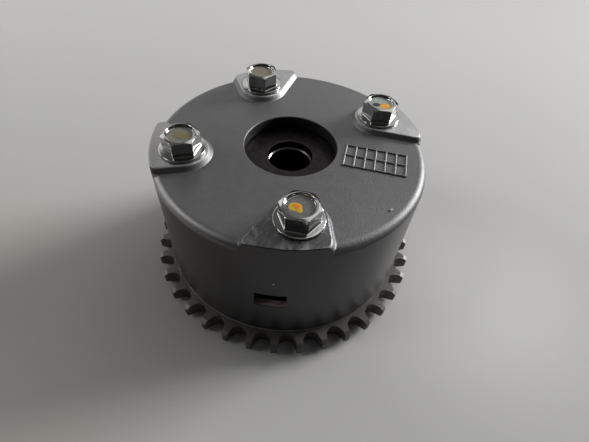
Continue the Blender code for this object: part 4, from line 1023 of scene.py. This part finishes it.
def pin_profile():
    """Half the stepped pin's section, from the spring pocket's floor round to the tip."""
    pocket = 3.5 * MM
    head = 5.0 * MM
    shank = 4.0 * MM
    pocket_floor = 21.0 * MM
    top = 34.0 * MM
    step = 26.8 * MM
    tip = 18.4 * MM
    return rounded([
        (0, pocket_floor, 0), (pocket, pocket_floor, 0.3 * MM), (pocket, top, 0.2 * MM),
        (head, top, 0.3 * MM), (head, step, 0.15 * MM), (shank, step, 0),
        (shank, tip, 0.6 * MM), (0, tip, 0),
    ])


def ring_profile(inner, outer, low, middle, high, low_reach, high_reach, outer_reach):
    """A ring's closed section from the middle of its bore, with the reaches that round its corners."""
    return rounded([
        (inner, middle, 0), (inner, high, high_reach), (outer, high, outer_reach),
        (outer, low, outer_reach), (inner, low, low_reach), (inner, middle, 0),
    ])[:-1]


def coil(name):
    """Circles of wire carried along a helix: radius R + w cos b outwards and w sin b up from its line."""
    turns = 6
    wire = 0.4 * MM
    low = 21.7 * MM
    high = 41.5 * MM
    along = np.linspace(0, turns * 2 * math.pi, turns * 32 + 1)[:, None]
    about = (np.arange(10) * 2 * math.pi / 10)[None]
    radius = 2.75 * MM + wire * np.cos(about)
    height = low + (high - low) * along / (turns * 2 * math.pi) + wire * np.sin(about)
    x = PIN_PLACE[0] + radius * np.cos(along)
    y = PIN_PLACE[1] + radius * np.sin(along)
    return surface(name, np.dstack([x, y, height]), capped=True)


def make_lock_pin_group():
    """The stepped pin, its vented cap, its bush and the coil spring between pin and cap."""
    cap = ring_profile(
        inner=1.0 * MM, outer=5.7 * MM, low=42.2 * MM, middle=43.2 * MM, high=44.1 * MM,
        low_reach=0.15 * MM, high_reach=0.15 * MM, outer_reach=0.25 * MM,
    )
    bush = ring_profile(
        inner=4.4 * MM, outer=6.3 * MM, low=12.3 * MM, middle=15.0 * MM, high=17.5 * MM,
        low_reach=0.2 * MM, high_reach=0.4 * MM, outer_reach=0.3 * MM,
    )
    for name, profile, closed, body, node in (
        ("stepped_pin", pin_profile(), False, "lock_pin", "lock_pin"),
        ("vented_cap", cap, True, "rotor", "lock_pin_cap"),
        ("pin_bush", bush, True, "drum", "lock_pin_bush"),
    ):
        made = turned(name, profile, PIN_STEPS, closed, PIN_PLACE)
        dress(shade(made), body, "hardened_steel", HARD_STEEL, node)
    spring = coil("coil_spring")
    dress(shade(spring), "rotor", "spring_steel", SPRING_STEEL, "lock_pin_spring")
    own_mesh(spring)


# Date grid on the drum's top

def ridges(length, count):
    """Places across flat-topped ridges spread evenly over a length, and how tall they are there."""
    middles = np.linspace(-length / 2, length / 2, count)
    offsets = MM * np.array([-0.34, -0.24, -0.11, 0.11, 0.24, 0.34])
    tall = np.tile([0.0, 0.7, 1.0, 1.0, 0.7, 0.0], count)
    return (middles[:, None] + offsets).ravel(), tall


def make_date_grid():
    """Raised ribs of two rows of six cells: height is the greater of two rows of flat-topped ridges."""
    along, along_tall = ridges(GRID_LENGTH, 7)
    aside, aside_tall = ridges(GRID_WIDTH, 3)
    tall = np.maximum(along_tall[:, None], aside_tall[None])
    height = DRUM_TOP + np.where(tall > 0, GRID_RISE * tall, -0.05 * MM)
    u, v = np.meshgrid(along, aside, indexing="ij")
    x = GRID_CENTRE[0] + u * math.cos(GRID_TURN) - v * math.sin(GRID_TURN)
    y = GRID_CENTRE[1] + u * math.sin(GRID_TURN) + v * math.cos(GRID_TURN)
    grid = surface("date_grid", np.dstack([x, y, height]), wrap_columns=False)
    wall = grid.modifiers.new("Depth", "SOLIDIFY")
    wall.thickness = 0.2 * MM
    wall.offset = -1
    dress(grid, "drum", "drum_casting", CASTING)


def finish_seals():
    """Gives the seals and their leaf springs, which stay as the CAD made them, their materials."""
    for name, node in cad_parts.items():
        if "_seal_" in name:
            node.data.materials.clear()
            node.data.materials.append(SPRING_STEEL if name.endswith("_spring") else SEAL_POLYMER)


# Floor, light and camera

def make_floor():
    """A pale bench top, painted brighter towards the window and the far side, as in the photograph, with a
    painted pool of light beside the part and a lighter painted patch at the near left.
    """
    mesh = bpy.data.meshes.new("floor")
    level = -0.05 * MM
    corners = [(-0.45, -0.35, level), (0.45, -0.35, level), (0.45, 0.4, level), (-0.45, 0.4, level)]
    mesh.from_pydata(corners, [], [(0, 1, 2, 3)])
    floor = bpy.data.objects.new("floor", mesh)
    bpy.context.scene.collection.objects.link(floor)
    paint = Paint("bench", grey(0.4), 0.75, 0.0)
    gain = 1.1
    x, y, _ = paint.axes()
    # Painted light: a pool of light beside the part, and the near left corner lightened where the part's
    # shadow falls
    beside = paint.away((0.075, -0.02, 0.0)).rise(0.06, 0.0)
    corner = x.rise(0.0, -0.10) * y.rise(-0.03, -0.09)
    tone = 0.325 + x.rise(-0.14, 0.16) * 0.04 + y.rise(-0.12, 0.25) * 0.17 + beside * 0.12 + corner * 0.07
    tint = paint.blend(x.rise(0.0, -0.06) * y.rise(0.06, -0.02), (1.0, 0.995, 0.985), (1.0, 0.96, 0.90))
    paint.set("Base Color", paint.blend(tone * gain, grey(0.0), tint))
    paint.set("Specular IOR Level", 0.2)
    mesh.materials.append(paint.material)


def make_world():
    """A dim room: a low bright window at the right, a band of light beyond the part and a few soft glows.

    Each glow shines from the directions whose cosine to its middle is above high, and fades out down to low.
    """
    world = bpy.data.worlds.new("room")
    bpy.context.scene.world = world
    world.use_nodes = True
    background = world.node_tree.nodes["Background"]
    room = Nodes(world.node_tree)
    direction = room.node("TexCoord", {}, output="Generated")

    def facing(toward):
        """The cosine between a ray's direction and another."""
        middle = tuple(Vector(toward).normalized())
        return room.node("VectorMath", {"operation": "DOT_PRODUCT"}, direction, middle, output="Value")

    _, beyond, up = room.parts(direction)
    window_turn = math.radians(30)
    ahead = facing((math.cos(window_turn), math.sin(window_turn), 0))
    aside = facing((-math.sin(window_turn), math.cos(window_turn), 0))
    window = aside.size().rise(0.24, 0.12) * ahead.rise(0.1, 0.3) * up.rise(0.12, 0.20) * up.rise(0.50, 0.40)
    band = up.rise(0.30, 0.42) * up.rise(0.66, 0.54) * beyond.rise(-0.1, 0.5)
    dome = up.rise(-0.05, 1.0) * (beyond.rise(-0.6, 0.2) * 0.12 + 0.025) + 0.02
    light = window * 46.0 + band * 0.95 + dome
    for toward, strength, low, high in (
        ((0.42, 0.38, 0.82), 1.05, 0.88, 0.97),
        ((-0.72, 0.68, 0.12), 0.50, 0.80, 0.97),
        ((-0.72, -0.08, 0.66), 7.0, 0.982, 0.994),
        ((-0.95, 0.25, 0.16), 2.2, 0.965, 0.99),
    ):
        light = light + facing(toward).rise(low, high) * strength
    room.fill(background.inputs["Strength"], light)
    room.fill(background.inputs["Color"], (1.0, 0.995, 0.99, 1.0))


def make_camera():
    """The photograph's view: just above and in front, with a slight roll."""
    pitch = math.radians(49.269)
    roll = math.radians(5.059)
    place = (3.26 * MM, -98.44 * MM, 126.53 * MM)
    forward = Vector((0, math.cos(pitch), -math.sin(pitch)))
    right = Vector((1, 0, 0))
    up = right.cross(forward)
    across = right * math.cos(roll) + up * math.sin(roll)
    upward = up * math.cos(roll) - right * math.sin(roll)
    camera = bpy.data.cameras.new("camera")
    camera.sensor_width = 36
    camera.lens = 24.03
    camera.clip_start = 0.01
    made = bpy.data.objects.new("camera", camera)
    bpy.context.scene.collection.objects.link(made)
    turn = Matrix((across, upward, -forward)).transposed().to_4x4()
    made.matrix_world = Matrix.Translation(place) @ turn
    bpy.context.scene.camera = made


make_drum()
make_sprocket()
make_bolts()
make_rotor()
make_lock_pin_group()
make_date_grid()
make_marks()
finish_seals()
make_floor()
make_world()
make_camera()
bpy.context.scene.view_settings.view_transform = "Standard"
